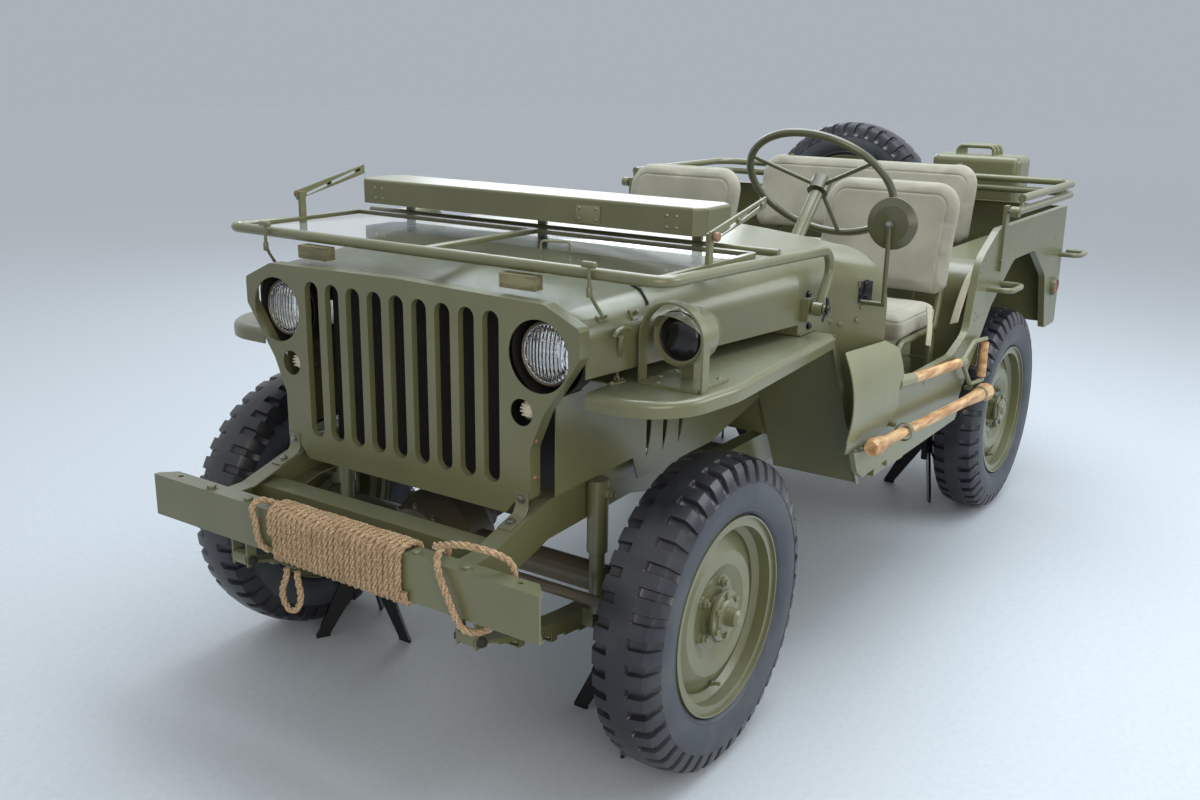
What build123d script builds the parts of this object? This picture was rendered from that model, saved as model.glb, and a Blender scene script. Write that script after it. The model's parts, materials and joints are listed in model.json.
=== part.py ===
import os
from math import asin, cos, hypot, pi, radians, sin, tan

from build123d import *

os.makedirs("parts", exist_ok=True)

# An open army 4x4 car. Millimetres, X forward, Y to the car's left, Z up from the floor.
# The origin is on the floor at the middle of the car's overall length.

# Overall sizes
wheelbase = 2032
front_overhang = 533
tail_overhang = 518
spare_gap = 45.5
tyre_radius = 357
tyre_half_width = 80
tyre_bulge = 1.5
track = 1245
overall_width = 1575
rear_overhang = tail_overhang + spare_gap + 2 * tyre_half_width + tyre_bulge
overall_length = front_overhang + wheelbase + rear_overhang
front_axle_x = overall_length / 2 - front_overhang
rear_axle_x = front_axle_x - wheelbase
bumper_x = front_axle_x + front_overhang

# Fits and clearances
gap = 0.5
turning_gap = 6
running_gap = 0.3
sheet = 3

# Wheels and axles
rim_radius = 226
rim_half_width = 57
axle_z = tyre_radius
wheel_y = track / 2
hub_radius = 38
spindle_radius = 25

# Frame
rail_outer_y = 372
rail_width = 45
rail_wall = 4
rail_depth = 88

# Body
body_half_width = 705
body_flange = 22
floor_z = 533
rear_floor_z = 606
side_top_z = 1034
rocker_z = 470
tail_low_z = 592
tail_x = rear_axle_x - tail_overhang
cowl_front_x = front_axle_x - 478
dash_x = front_axle_x - 760
cowl_top_z = 1118
dash_low_z = 950
hood_low_z = 915
fender_top_z = 886
fender_rear_x = front_axle_x - 560
fender_edge = 34
fender_roll = 14
apron_low = (front_axle_x - 790, 432)
ledge_z = fender_top_z + 2

# Grille
grille_x = front_axle_x + 295
grille_depth = 34
slot_pitch = 66
slot_width = 43
slot_low_z = 664
slot_high_z = 1033
lamp_y = 385.5
lamp_z = 954
lamp_hole_radius = 76
marker_y = 343
marker_z = 831
marker_hole_radius = 29

# Front axle and steering
king_pin_y = 520
ball_radius = 55
cup_wall = 11
tie_rod_x = front_axle_x + 165
arm_y = 505
axle_tube_radius = 35
diff_y = -140
steering_centre = (front_axle_x - 1075, 360, 1195)
steering_rim_radius = 214

# Bumper and tow rope
bumper_half_width = 570
bumper_top_z = 574
bumper_height = 100
bumper_depth = 45
bumper_wall = 5
rope_radius = 8
winding_low_y = -165
winding_high_y = 245
winding_grow = 18

# Windscreen, folded forward
screen_pivot = (front_axle_x - 505, 955)
screen_pin_radius = 5
screen_tube_radius = 12
screen_half_width = 629
screen_front_x = front_axle_x + 223
screen_front_z = 1121
screen_rear_x = front_axle_x - 590
screen_rear_z = 1092

# Top bows, stowed
bow_pivot = (front_axle_x - 1740, 1086)
bow_radius = 13
bow_half_width = 737
bow_rise = 38

# Seats
driver_seat_y = 400
passenger_seat_y = -365
seat_half_width = 222
seat_front_x = front_axle_x - 1130
seat_rear_x = front_axle_x - 1490
seat_low_z = 752
seat_high_z = 828
back_low_z = 842
back_high_z = 1180
back_lean = 0.28
back_depth = 48
seat_tube_radius = 11
seat_leg_y = seat_half_width - 27
seat_pivot_x = seat_front_x - 30
seat_pivot_z = 560
seat_pin_radius = 4

# Load on the tail
spare_y = -210
spare_z = 944
spare_offset = spare_gap + tyre_half_width
can_y = 338
can_half_width = 172
can_depth = 165
can_low_z = 770
can_high_z = 1240


def toe_x(z):
    """How far forward the toe board reaches at height z, just behind the fenders' sloping aprons."""
    low_x, low_z = apron_low
    return low_x + (fender_rear_x - low_x) * (z - low_z) / (fender_top_z - low_z) - 6


def save(piece, name):
    """Labels a finished piece and writes it under its own name."""
    piece.part.label = name
    export_step(piece.part, f"parts/{name}.step")


def rod(points, radius, bend=0):
    """A round bar along straight runs with rounded corners."""
    with BuildPart() as bar:
        with BuildLine() as route:
            if bend:
                FilletPolyline(*points, radius=bend)
            else:
                Polyline(*points)
        with BuildSketch(Plane(origin=route.line @ 0, z_dir=route.line % 0)):
            Circle(radius)
        sweep(path=route.line)
    return bar.part


def block(x_span, y_span, z_span):
    """A plain rectangular bar between two limits along each axis."""
    spans = (x_span, y_span, z_span)
    with BuildPart() as piece:
        with Locations([tuple((low + high) / 2 for low, high in spans)]):
            Box(*(high - low for low, high in spans))
    return piece.part


def slab(outline, y_low, y_high):
    """A side-view outline in X and Z, as thick as from y_low to y_high."""
    with BuildPart() as piece:
        with BuildSketch(Plane.XZ.offset(-y_high)):
            with BuildLine():
                Polyline(*outline, close=True)
            make_face()
        extrude(amount=y_high - y_low)
    return piece.part


def turned(outline, origin, axis, zero):
    """A profile of (along, out) points turned about an axis through origin."""
    plane = Plane(origin=origin, x_dir=axis, z_dir=Vector(*axis).cross(Vector(*zero)))
    with BuildPart() as piece:
        with BuildSketch(plane):
            with BuildLine():
                Polyline(*outline, close=True)
            make_face()
        revolve(axis=Axis(origin, axis))
    return piece.part


def wheel_plane(x, y, z, side):
    """The plane of a wheel's section: its own X is outboard and its own Y is up."""
    return Plane(origin=(x, y, z), x_dir=(0, side, 0), z_dir=(side, 0, 0))


def tyre(x, y, z, side):
    """A hollow tyre, its beads seated between the flanges of the rim."""
    seat = rim_radius - 19.7
    wall = tyre_radius - rim_radius
    widest = rim_radius + 0.55 * wall
    low_wall = rim_radius + 0.275 * wall
    shoulder = tyre_radius - 0.206 * wall
    inside_widest = rim_radius + 0.45 * wall
    with BuildPart() as piece:
        with BuildSketch(wheel_plane(x, y, z, side)):
            with BuildLine():
                bead_in = Line((-46, seat), (-rim_half_width, seat))
                bead_up = Line(bead_in @ 1, (-rim_half_width, rim_radius + 2))
                wall_in = ThreePointArc(bead_up @ 1, (-77, low_wall), (-tyre_half_width, widest))
                shoulder_in = ThreePointArc(wall_in @ 1, (-77, shoulder), (-62, tyre_radius - 9))
                crown = ThreePointArc(shoulder_in @ 1, (0, tyre_radius), (62, tyre_radius - 9))
                shoulder_out = ThreePointArc(crown @ 1, (77, shoulder), (tyre_half_width, widest))
                wall_out = ThreePointArc(shoulder_out @ 1, (77, low_wall), (rim_half_width, rim_radius + 2))
                bead_down = Line(wall_out @ 1, (rim_half_width, seat))
                bead_out = Line(bead_down @ 1, (46, seat))
                lining_out = Line(bead_out @ 1, (46, rim_radius + 4))
                inside_out = ThreePointArc(lining_out @ 1, (67, inside_widest), (52, tyre_radius - 24))
                inside_top = ThreePointArc(inside_out @ 1, (0, tyre_radius - 18), (-52, tyre_radius - 24))
                inside_in = ThreePointArc(inside_top @ 1, (-67, inside_widest), (-46, rim_radius + 4))
                Line(inside_in @ 1, bead_in @ 0)
            make_face()
        revolve(axis=Axis((x, y, z), (0, 1, 0)))
    return piece


# Half sections of the wheel as (outboard, radius) from the wheel's centre plane.
rim_section = (
    (-68, 226), (-57.3, 226), (-57.3, 206), (-38, 206), (-28, 190), (20, 190), (32, 206), (57.3, 206),
    (57.3, 226), (68, 226), (68, 222), (61.3, 222), (61.3, 202), (34.5, 202), (23, 186), (-31, 186),
    (-40.5, 202), (-61.3, 202), (-61.3, 222), (-68, 222),
)
disc_section = (
    (16, 188), (40, 142), (40, 112), (27, 86), (27, 40), (21, 40), (21, 89), (34.5, 114), (34.5, 140),
    (10, 188),
)
drum_section = ((21, 30), (21, 120), (-34, 120), (-34, 114), (14, 114), (14, 30))


def wheel(x, y, z, side, cap_reach):
    """A drop-centre rim with its dished disc, brake drum and hub, bored for the spindle."""
    bore = spindle_radius + running_gap
    hub_section = (
        (-26, bore), (-26, hub_radius), (27, hub_radius), (27, 62), (34, 62), (34, 44), (60, 40), (64, 34),
        (64, 22), (cap_reach - 6, 20), (cap_reach, 12), (cap_reach, 0), (57, 0), (57, bore),
    )
    with BuildPart() as piece:
        for section in (rim_section, disc_section, drum_section, hub_section):
            with BuildSketch(wheel_plane(x, y, z, side)):
                with BuildLine():
                    Polyline(*section, close=True)
                make_face()
            revolve(axis=Axis((x, y, z), (0, 1, 0)))
    return piece


def knuckle(side):
    """A steering knuckle: a cup round the axle's ball, king pin bosses, spindle, backing plate and arm."""
    centre = (front_axle_x, side * king_pin_y, axle_z)
    outboard = wheel_y - king_pin_y
    inner = ball_radius + 2
    outer = inner + cup_wall
    plane = Plane(origin=centre, x_dir=(0, side, 0), z_dir=(side, 0, 0))
    with BuildPart() as piece:
        with BuildSketch(plane):
            with BuildLine():
                diagonal = sin(radians(45))
                over = ThreePointArc((0, outer), (outer * diagonal, outer * diagonal), (outer, 0))
                across = Line(over @ 1, (inner, 0))
                under = ThreePointArc(across @ 1, (inner * diagonal, inner * diagonal), (0, inner))
                Line(under @ 1, over @ 0)
            make_face()
        revolve(axis=Axis(centre, (0, 1, 0)))
        add(turned(
            (
                (outer - 3, 0), (outer - 3, spindle_radius), (outboard + 50, spindle_radius), (outboard + 50, 0),
            ),
            centre, (0, side, 0), (0, 0, 1),
        ))
        add(turned(
            ((outboard - 44, 24), (outboard - 44, 126), (outboard - 40, 126), (outboard - 40, 24)),
            centre, (0, side, 0), (0, 0, 1),
        ))
        for reach, axis in ((outer + 22, (0, 0, 1)), (outer + 18, (0, 0, -1))):
            boss = ((inner + 1, 0), (inner + 1, 24), (reach, 24), (reach, 0))
            add(turned(boss, centre, axis, (1, 0, 0)))
        with BuildSketch(Plane.XY.offset(axle_z - 4)):
            with BuildLine():
                Polyline(
                    (front_axle_x + 22, side * (king_pin_y + 60)),
                    (tie_rod_x, side * (arm_y + 14)),
                    (tie_rod_x, side * (arm_y - 14)),
                    (front_axle_x + 62, side * (king_pin_y + 4)),
                    (front_axle_x + 50, side * (king_pin_y + 38)),
                    close=True,
                )
            make_face()
            with Locations((tie_rod_x, side * arm_y)):
                Circle(16)
        extrude(amount=16)
    return piece


def front_wheel_sets():
    """The steered wheels, left then right."""
    for side, name in ((1, "left"), (-1, "right")):
        save(tyre(front_axle_x, side * wheel_y, axle_z, side), f"front_{name}_tyre")
        save(wheel(front_axle_x, side * wheel_y, axle_z, side, 92), f"front_{name}_wheel")
        save(knuckle(side), f"{name}_steering_knuckle")


def rear_wheel_sets():
    """The driven rear wheels, left then right."""
    for side, name in ((1, "left"), (-1, "right")):
        save(tyre(rear_axle_x, side * wheel_y, axle_z, side), f"rear_{name}_tyre")
        save(wheel(rear_axle_x, side * wheel_y, axle_z, side, 72), f"rear_{name}_wheel")


front_wheel_sets()
rear_wheel_sets()

# Axle casing: (along the pinion, radius) from the axle's centre, cover end first.
diff_section = (
    (132, 0), (128, 60), (112, 94), (62, 116), (40, 125), (-40, 125), (-70, 108), (-110, 50), (-165, 38),
    (-165, 0),
)

with BuildPart() as front_axle:
    with BuildSketch(Plane.XZ.offset(-(king_pin_y - ball_radius + 8))):
        with Locations((front_axle_x, axle_z)):
            Circle(axle_tube_radius)
    extrude(amount=2 * (king_pin_y - ball_radius + 8))
    with Locations((front_axle_x, king_pin_y, axle_z), (front_axle_x, -king_pin_y, axle_z)):
        Sphere(ball_radius)
    add(turned(diff_section, (front_axle_x, diff_y, axle_z), (1, 0, 0), (0, 0, 1)))
save(front_axle, "front_axle")

with BuildPart() as rear_axle:
    half = wheel_y - 20
    with BuildSketch(Plane.XZ.offset(-half)):
        with Locations((rear_axle_x, axle_z)):
            Circle(spindle_radius)
    extrude(amount=2 * half)
    half_tube = wheel_y - 46
    with BuildSketch(Plane.XZ.offset(-half_tube)):
        with Locations((rear_axle_x, axle_z)):
            Circle(axle_tube_radius + 3)
    extrude(amount=2 * half_tube)
    add(turned(diff_section, (rear_axle_x, diff_y, axle_z), (-1, 0, 0), (0, 0, 1)))
    for side in (1, -1):
        add(turned(
            ((wheel_y - 44, 24), (wheel_y - 44, 126), (wheel_y - 40, 126), (wheel_y - 40, 24)),
            (rear_axle_x, 0, axle_z), (0, side, 0), (0, 0, 1),
        ))
save(rear_axle, "rear_axle")

with BuildPart() as tie_rod:
    rod_z = axle_z + 12 + turning_gap + 13
    add(rod(((tie_rod_x, -arm_y - 12, rod_z), (tie_rod_x, arm_y + 12, rod_z)), 13))
save(tie_rod, "tie_rod")

# Frame: top edge of a side rail, front to rear.
rail_top = (
    (bumper_x - bumper_wall - 2, 567.5), (front_axle_x + 440, 569), (front_axle_x + 240, 630),
    (front_axle_x - 80, 640), (front_axle_x - 560, 526), (rear_axle_x + 420, 526), (rear_axle_x + 200, 600),
    (tail_x + 22, 600),
)


def rail_low_z(x):
    """The height of a side rail's lower edge at x."""
    for (ahead_x, ahead_z), (behind_x, behind_z) in zip(rail_top, rail_top[1:]):
        if behind_x <= x <= ahead_x:
            share = (x - behind_x) / (ahead_x - behind_x)
            return behind_z + share * (ahead_z - behind_z) - rail_depth
    return rail_top[-1][1] - rail_depth


# Crossmembers as (x, low z, length along X, height).
crossmembers = (
    (front_axle_x + 385, 505, 60, 60),
    (front_axle_x - 700, 454, 90, 24),
    (rear_axle_x + 560, 454, 60, 60),
    (rear_axle_x - 60, 520, 50, 70),
    (tail_x + 60, 520, 70, 70),
)

with BuildPart() as frame:
    for side in (1, -1):
        outer = side * rail_outer_y
        inner = side * (rail_outer_y - rail_width)
        web = side * (rail_outer_y - rail_wall)
        bottom = [(x, z - rail_depth) for x, z in reversed(rail_top)]
        add(slab((*rail_top, *bottom), min(outer, inner), max(outer, inner)))
        hollow_top = [(x, z - rail_wall) for x, z in rail_top]
        hollow_bottom = [(x, z - rail_depth + rail_wall) for x, z in reversed(rail_top)]
        add(slab((*hollow_top, *hollow_bottom), min(web, inner), max(web, inner)), mode=Mode.SUBTRACT)
    for x, low_z, length, height in crossmembers:
        reach = rail_outer_y - rail_wall + 1
        add(block((x - length / 2, x + length / 2), (-reach, reach), (low_z, low_z + height)))
    for side in (1, -1):
        add(block(
            (tail_x - 96, tail_x + 60), sorted((side * 330, side * 372)), (522, 588),
        ))
        add(block(
            (tail_x - 108, tail_x - 92), sorted((side * 300, side * 560)), (515, 590),
        ))
save(frame, "frame")

with BuildPart() as front_bumper:
    with BuildSketch(Plane.YZ.offset(bumper_x - bumper_depth)):
        with Locations((0, bumper_top_z - bumper_height / 2)):
            Rectangle(2 * bumper_half_width, bumper_height)
    extrude(amount=bumper_depth)
    with BuildSketch(Plane.YZ.offset(bumper_x - bumper_depth)):
        with Locations((0, bumper_top_z - bumper_height / 2)):
            Rectangle(2 * bumper_half_width + 2, bumper_height - 2 * bumper_wall)
    extrude(amount=bumper_depth - bumper_wall, mode=Mode.SUBTRACT)
    rear_corners = front_bumper.edges().filter_by(Axis.Z).group_by(Axis.X)[0]
    chamfer(rear_corners, bumper_depth - 12)
    bolt_y = bumper_half_width - 65
    with Locations((bumper_x - 26, bolt_y, bumper_top_z), (bumper_x - 26, -bolt_y, bumper_top_z)):
        Hole(6.5, 2 * bumper_wall)
save(front_bumper, "front_bumper")

# Grille: half outline as (y, z), from the bottom centre round to the top centre.
grille_half = (
    (0, 603), (300, 603), (330, 640), (366, 640), (366, 755), (400, 836), (487, 960), (487, 1022),
    (400, 1062), (0, 1070),
)

with BuildPart() as grille:
    with BuildSketch(Plane.YZ.offset(grille_x - grille_depth)):
        with BuildLine():
            left = FilletPolyline(*grille_half, radius=12)
            mirror(left, about=Plane.YZ)
        make_face()
    extrude(amount=grille_depth)
    with BuildSketch(Plane.YZ.offset(grille_x - grille_depth)):
        with BuildLine():
            left = FilletPolyline(*grille_half, radius=12)
            mirror(left, about=Plane.YZ)
        make_face()
        offset(amount=-sheet, mode=Mode.REPLACE)
    extrude(amount=grille_depth - sheet, mode=Mode.SUBTRACT)
    slots = [((i - 4) * slot_pitch, (slot_low_z + slot_high_z) / 2) for i in range(9)]
    with BuildSketch(Plane.YZ.offset(grille_x - 16)):
        with Locations(slots):
            SlotOverall(slot_high_z - slot_low_z + 2 * sheet, slot_width + 2 * sheet, rotation=90)
    extrude(amount=16)
    with BuildSketch(Plane.YZ.offset(grille_x - grille_depth)):
        with Locations(slots):
            SlotOverall(slot_high_z - slot_low_z, slot_width, rotation=90)
        with Locations((lamp_y, lamp_z), (-lamp_y, lamp_z)):
            Circle(lamp_hole_radius)
        with Locations((marker_y, marker_z), (-marker_y, marker_z)):
            Circle(marker_hole_radius)
    extrude(amount=grille_depth, mode=Mode.SUBTRACT)
save(grille, "grille")

lamp_front_x = grille_x - grille_depth
lens_edge = 2
with BuildPart() as lamp_bodies:
    for side in (1, -1):
        centre = (lamp_front_x - 4, side * lamp_y, lamp_z)
        add(turned(
            ((0, 0), (0, 86), (-14, 86), (-60, 62), (-84, 30), (-84, 0)),
            centre, (1, 0, 0), (0, 0, 1),
        ))
        centre = (lamp_front_x - 4, side * marker_y, marker_z)
        add(turned(((0, 0), (0, 31), (-40, 26), (-40, 0)), centre, (1, 0, 0), (0, 0, 1)))
save(lamp_bodies, "lamp_bodies")

with BuildPart() as lamp_lenses:
    for side in (1, -1):
        for y, z, radius, crown in ((lamp_y, lamp_z, 72, 20), (marker_y, marker_z, 24, 14)):
            plane = Plane(origin=(lamp_front_x - 4 + gap / 2, side * y, z), x_dir=(1, 0, 0), z_dir=(0, -1, 0))
            rise = crown - lens_edge
            ball = (rise ** 2 + radius ** 2) / (2 * rise)
            half_turn = asin(radius / ball) / 2
            with BuildSketch(plane):
                with BuildLine():
                    base = Line((0, 0), (0, radius))
                    edge = Line(base @ 1, (lens_edge, radius))
                    face = ThreePointArc(
                        edge @ 1, (crown - ball + ball * cos(half_turn), ball * sin(half_turn)), (crown, 0)
                    )
                    Line(face @ 1, (0, 0))
                make_face()
            revolve(axis=Axis(plane.origin, (1, 0, 0)))
save(lamp_lenses, "lamp_lenses")

with BuildPart() as radiator:
    add(block((front_axle_x + 170, front_axle_x + 232), (-262, 262), (645, 1015)))
    add(block((front_axle_x + 160, front_axle_x + 240), (-250, 250), (1015, 1046)))
save(radiator, "radiator")

with BuildPart() as engine_and_gearbox:
    add(block((front_axle_x - 430, front_axle_x + 100), (-160, 160), (505, 940)))
    add(block((front_axle_x - 960, front_axle_x - 430), (-110, 110), (482, 612)))
    add(block((front_axle_x - 1010, front_axle_x - 850), (-230, 60), (380, 522)))
save(engine_and_gearbox, "engine_and_gearbox")

# Hood and cowl stations as (x, half width, low z, shoulder z, shoulder y, edge of crown z, top z).
hood_stations = (
    (grille_x - grille_depth - gap, 480, hood_low_z, 985, 410, 1050, 1070),
    (cowl_front_x + gap, 590, hood_low_z, 985, 505, 1085, cowl_top_z),
)
cowl_stations = (
    (cowl_front_x, 590, rocker_z, 985, 505, 1085, cowl_top_z),
    (front_axle_x - 645, 604, rocker_z, 985, 518, 1085, cowl_top_z),
    (dash_x, body_half_width, rocker_z, 940, 560, 1078, cowl_top_z - 2),
)


def hooped(stations, inset, drop):
    """A solid through arched sections of the engine cover or cowl, inset all round by a wall."""
    with BuildPart() as piece:
        for x, half_width, low_z, shoulder_z, crown_y, crown_z, top_z in stations:
            with BuildSketch(Plane.YZ.offset(x)):
                with BuildLine():
                    w = half_width - inset
                    top = top_z - inset
                    cy, cz = crown_y - inset * 0.4, crown_z - inset
                    low = low_z - drop
                    bottom = Line((-w, low), (w, low))
                    left = Line(bottom @ 1, (w, shoulder_z))
                    left_turn = ThreePointArc(
                        left @ 1, (cy + (w - cy) * 0.74, shoulder_z + (cz - shoulder_z) * 0.66), (cy, cz)
                    )
                    crown = ThreePointArc(left_turn @ 1, (0, top), (-cy, cz))
                    right_turn = ThreePointArc(
                        crown @ 1, (-cy - (w - cy) * 0.74, shoulder_z + (cz - shoulder_z) * 0.66),
                        (-w, shoulder_z),
                    )
                    Line(right_turn @ 1, bottom @ 0)
                make_face()
        loft(ruled=True)
    return piece.part


with BuildPart() as hood:
    add(hooped(hood_stations, 0, 0))
    add(hooped(hood_stations, sheet, 20), mode=Mode.SUBTRACT)
save(hood, "hood")

with BuildPart() as cowl:
    add(hooped(cowl_stations, 0, 0))
    add(hooped(cowl_stations, sheet, 20), mode=Mode.SUBTRACT)
    with BuildSketch(Plane.YZ.offset(dash_x)):
        with BuildLine():
            w = body_half_width - 1
            sill = Line((-w, dash_low_z), (w, dash_low_z))
            rise_left = Line(sill @ 1, (w - 2, dash_low_z + 10))
            turn_left = Line(rise_left @ 1, (562, 1076))
            crown = ThreePointArc(turn_left @ 1, (0, cowl_top_z - 3), (-562, 1076))
            turn_right = Line(crown @ 1, (2 - w, dash_low_z + 10))
            Line(turn_right @ 1, sill @ 0)
        make_face()
    extrude(amount=sheet)
    with BuildSketch(Plane.YZ.offset(cowl_front_x - sheet)):
        with BuildLine():
            firewall = Polyline((-588, ledge_z), (588, ledge_z), (588, 985), (505, 1083))
            crown = ThreePointArc(firewall @ 1, (0, cowl_top_z - 2), (-505, 1083))
            Polyline(crown @ 1, (-588, 985), (-588, ledge_z))
        make_face()
    extrude(amount=sheet)
    add(slab(
        (
            (cowl_front_x + 5, ledge_z), (toe_x(ledge_z), ledge_z), (toe_x(rocker_z - 5), rocker_z - 5),
            (cowl_front_x + 5, rocker_z - 5),
        ),
        -body_half_width, body_half_width,
    ), mode=Mode.SUBTRACT)
    add(block((toe_x(ledge_z) - 4, cowl_front_x - 1), (-596, 596), (ledge_z, ledge_z + sheet)))
    pivot_x, pivot_z = screen_pivot
    pin_end = screen_half_width + screen_tube_radius + 8
    for side in (1, -1):
        bracket_y = sorted((side * 588, side * 611))
        add(block((pivot_x - 20, pivot_x + 20), bracket_y, (pivot_z - 32, pivot_z + 24)))
        for start, end, radius in (
            (600, pin_end, screen_pin_radius), (pin_end - 5, pin_end, 12),
        ):
            with BuildSketch(Plane.XZ.offset(-max(side * start, side * end))):
                with Locations(screen_pivot):
                    Circle(radius)
            extrude(amount=end - start)
save(cowl, "cowl")

# The steering column leans at 45 degrees from the wheel's hub down through the toe board.
column_dir = Vector(0.7071, 0, -0.7071)
column_top = Vector(*steering_centre) + column_dir * (28 + turning_gap)

# Body floor with its tunnel, toe board, wheel houses and the tipping seat's brackets.
house_half = 425
house_inner_y = 480
house_top_z = 925
heel_y = 620
heel_x = rear_axle_x + 596
heel_end_y = body_half_width - body_flange - gap
tunnel = ((150, floor_z + sheet), (150, 600), (120, 640))
tunnel_inside = ((147, floor_z - 2), (147, 599), (118, 637))
with BuildPart() as body_floor:
    inner = body_half_width - sheet - gap
    step_x = rear_axle_x + 430
    add(block((step_x, dash_x - sheet - gap), (-inner, inner), (floor_z, floor_z + sheet)))
    add(block((dash_x - 10, toe_x(floor_z)), (-570, 570), (floor_z, floor_z + sheet)))
    add(block((tail_x + sheet + gap, step_x + sheet), (-inner, inner), (rear_floor_z, rear_floor_z + sheet)))
    add(block((step_x, step_x + sheet), (-inner, inner), (floor_z, rear_floor_z + sheet)))
    add(slab(
        (
            (toe_x(floor_z) - 4, floor_z), (toe_x(ledge_z - gap) - 4, ledge_z - gap),
            (toe_x(ledge_z - gap), ledge_z - gap), (toe_x(floor_z), floor_z),
        ),
        -570, 570,
    ))
    with BuildSketch(Plane.YZ.offset(front_axle_x - 1020)):
        with BuildLine():
            Polyline(*tunnel, *((-y, z) for y, z in reversed(tunnel)), close=True)
        make_face()
    extrude(amount=toe_x(floor_z) + 40 - (front_axle_x - 1020))
    with BuildSketch(Plane.YZ.offset(front_axle_x - 1020 + sheet)):
        with BuildLine():
            Polyline(*tunnel_inside, *((-y, z) for y, z in reversed(tunnel_inside)), close=True)
        make_face()
    extrude(amount=400, mode=Mode.SUBTRACT)
    for side in (1, -1):
        for grow, foot_z, low_y, high_y, mode in (
            (0, rear_floor_z, house_inner_y, inner, Mode.ADD),
            (sheet, rear_floor_z - 60, house_inner_y + sheet, inner + 1, Mode.SUBTRACT),
        ):
            front = rear_axle_x + house_half - grow
            rear = rear_axle_x - house_half + grow
            with BuildSketch(Plane.XZ.offset(-(side * high_y if side > 0 else -low_y))):
                with BuildLine():
                    FilletPolyline(
                        (rear, foot_z), (rear, house_top_z - grow), (front, house_top_z - grow),
                        (front, foot_z), radius=120, close=False,
                    )
                    Line((rear, foot_z), (front, foot_z))
                make_face()
            extrude(amount=high_y - low_y, mode=mode)
        heel_low, heel_high = sorted((side * heel_y, side * (inner + 1)))
        front, rear = heel_x, rear_axle_x + house_half + sheet + 1
        add(block((rear, front), (heel_low, heel_high), (floor_z - 1, rear_floor_z - 1)), mode=Mode.SUBTRACT)
        heel = (
            (front, floor_z), (rear, rear_floor_z), (rear, rear_floor_z + sheet), (front, floor_z + sheet),
        )
        add(slab(heel, *sorted((side * heel_y, side * heel_end_y))))
        add(slab(
            ((front, floor_z), (rear, floor_z), (rear, rear_floor_z), (front, floor_z + sheet)),
            *sorted((side * (heel_y - sheet), side * heel_y)),
        ))
        flange_room = (
            (rear_axle_x + 605, 523), (rear_axle_x + 611, 529), (rear_axle_x + 334, 806), (rear_axle_x + 328, 800),
        )
        room_y = sorted((side * heel_end_y, side * (body_half_width + 1)))
        add(slab(flange_room, *room_y), mode=Mode.SUBTRACT)
    for y in (passenger_seat_y - seat_leg_y, passenger_seat_y + seat_leg_y):
        for low_y in (y - seat_tube_radius - 4.5, y + seat_tube_radius + 0.5):
            lug_x = (seat_pivot_x - 14, seat_pivot_x + 14)
            add(block(lug_x, (low_y, low_y + 4), (floor_z + 1, seat_pivot_z + 12)))
        with BuildSketch(Plane.XZ.offset(-y - seat_tube_radius - 4)):
            with Locations((seat_pivot_x, seat_pivot_z)):
                Circle(seat_pin_radius)
        extrude(amount=2 * seat_tube_radius + 8)
    add(rod((tuple(column_top), tuple(column_top + column_dir * 760)), 26), mode=Mode.SUBTRACT)
save(body_floor, "body_floor")

# Side panel outline as (x, z), from the sill's front end over the cut-out and round the rear.
cut_x = rear_axle_x
side_outline = (
    (dash_x - gap, rocker_z), (dash_x - gap, 700), (dash_x - 110, 692), (cut_x + 690, 690),
    (cut_x + 560, 735), (cut_x + 500, 950), (cut_x + 330, side_top_z), (tail_x, side_top_z),
    (tail_x, tail_low_z), (cut_x - 372, tail_low_z), (cut_x - 300, 800), (cut_x - 120, 912),
    (cut_x + 130, 912), (cut_x + 340, 790), (cut_x + 592, 538), (cut_x + 592, rocker_z),
)
side_bends = (0, 0, 0, 60, 60, 110, 90, 0, 14, 16, 60, 90, 90, 60, 40, 26)


def nearest(sketch, across, up):
    """The corner of a sketch that lies nearest to a point of its own plane."""
    return min(sketch.vertices(), key=lambda v: hypot(v.X - across, v.Y - up))


def side_panel(side, name):
    """A pressed side with a flange turned in all round, its grab handles and its bow bracket."""
    low, high = sorted((side * (body_half_width - body_flange), side * body_half_width))
    flange_end = body_half_width - body_flange - 1
    skin_low, skin_high = sorted((side * (body_half_width - sheet), side * flange_end))
    with BuildPart() as panel:
        with BuildSketch(Plane.XZ.offset(-high)) as outer_face:
            with BuildLine():
                Polyline(*side_outline, close=True)
            make_face()
            for (x, z), bend in zip(side_outline, side_bends):
                if bend:
                    fillet(nearest(outer_face, x, z), bend)
        extrude(amount=high - low)
        with BuildSketch(Plane.XZ.offset(-skin_high)) as inner_face:
            with BuildLine():
                Polyline(*side_outline, close=True)
            make_face()
            for (x, z), bend in zip(side_outline, side_bends):
                if bend:
                    fillet(nearest(inner_face, x, z), bend)
            offset(amount=-sheet, mode=Mode.REPLACE)
        extrude(amount=skin_high - skin_low, mode=Mode.SUBTRACT)
        out = side * (body_half_width - 1)
        reach = side * (overall_width / 2 - 9)
        for x, z, span in ((cut_x + 395, 850, 130), (tail_x + 40, 856, 110)):
            add(rod(((x, out, z), (x, reach, z), (x - span, reach, z), (x - span, out, z)), 9, 30))
        bracket_x, bracket_z = bow_pivot
        add(block(
            (bracket_x - 18, bracket_x + 18), sorted((out, side * (body_half_width + 10))),
            (bracket_z - 190, bracket_z + 18),
        ))
        pin_low, pin_high = sorted((out, side * (bow_half_width + 16)))
        with BuildSketch(Plane.XZ.offset(-pin_high)):
            with Locations((bracket_x, bracket_z)):
                Circle(6)
        extrude(amount=pin_high - pin_low)
    save(panel, name)


side_panel(1, "left_body_side")
side_panel(-1, "right_body_side")

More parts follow.
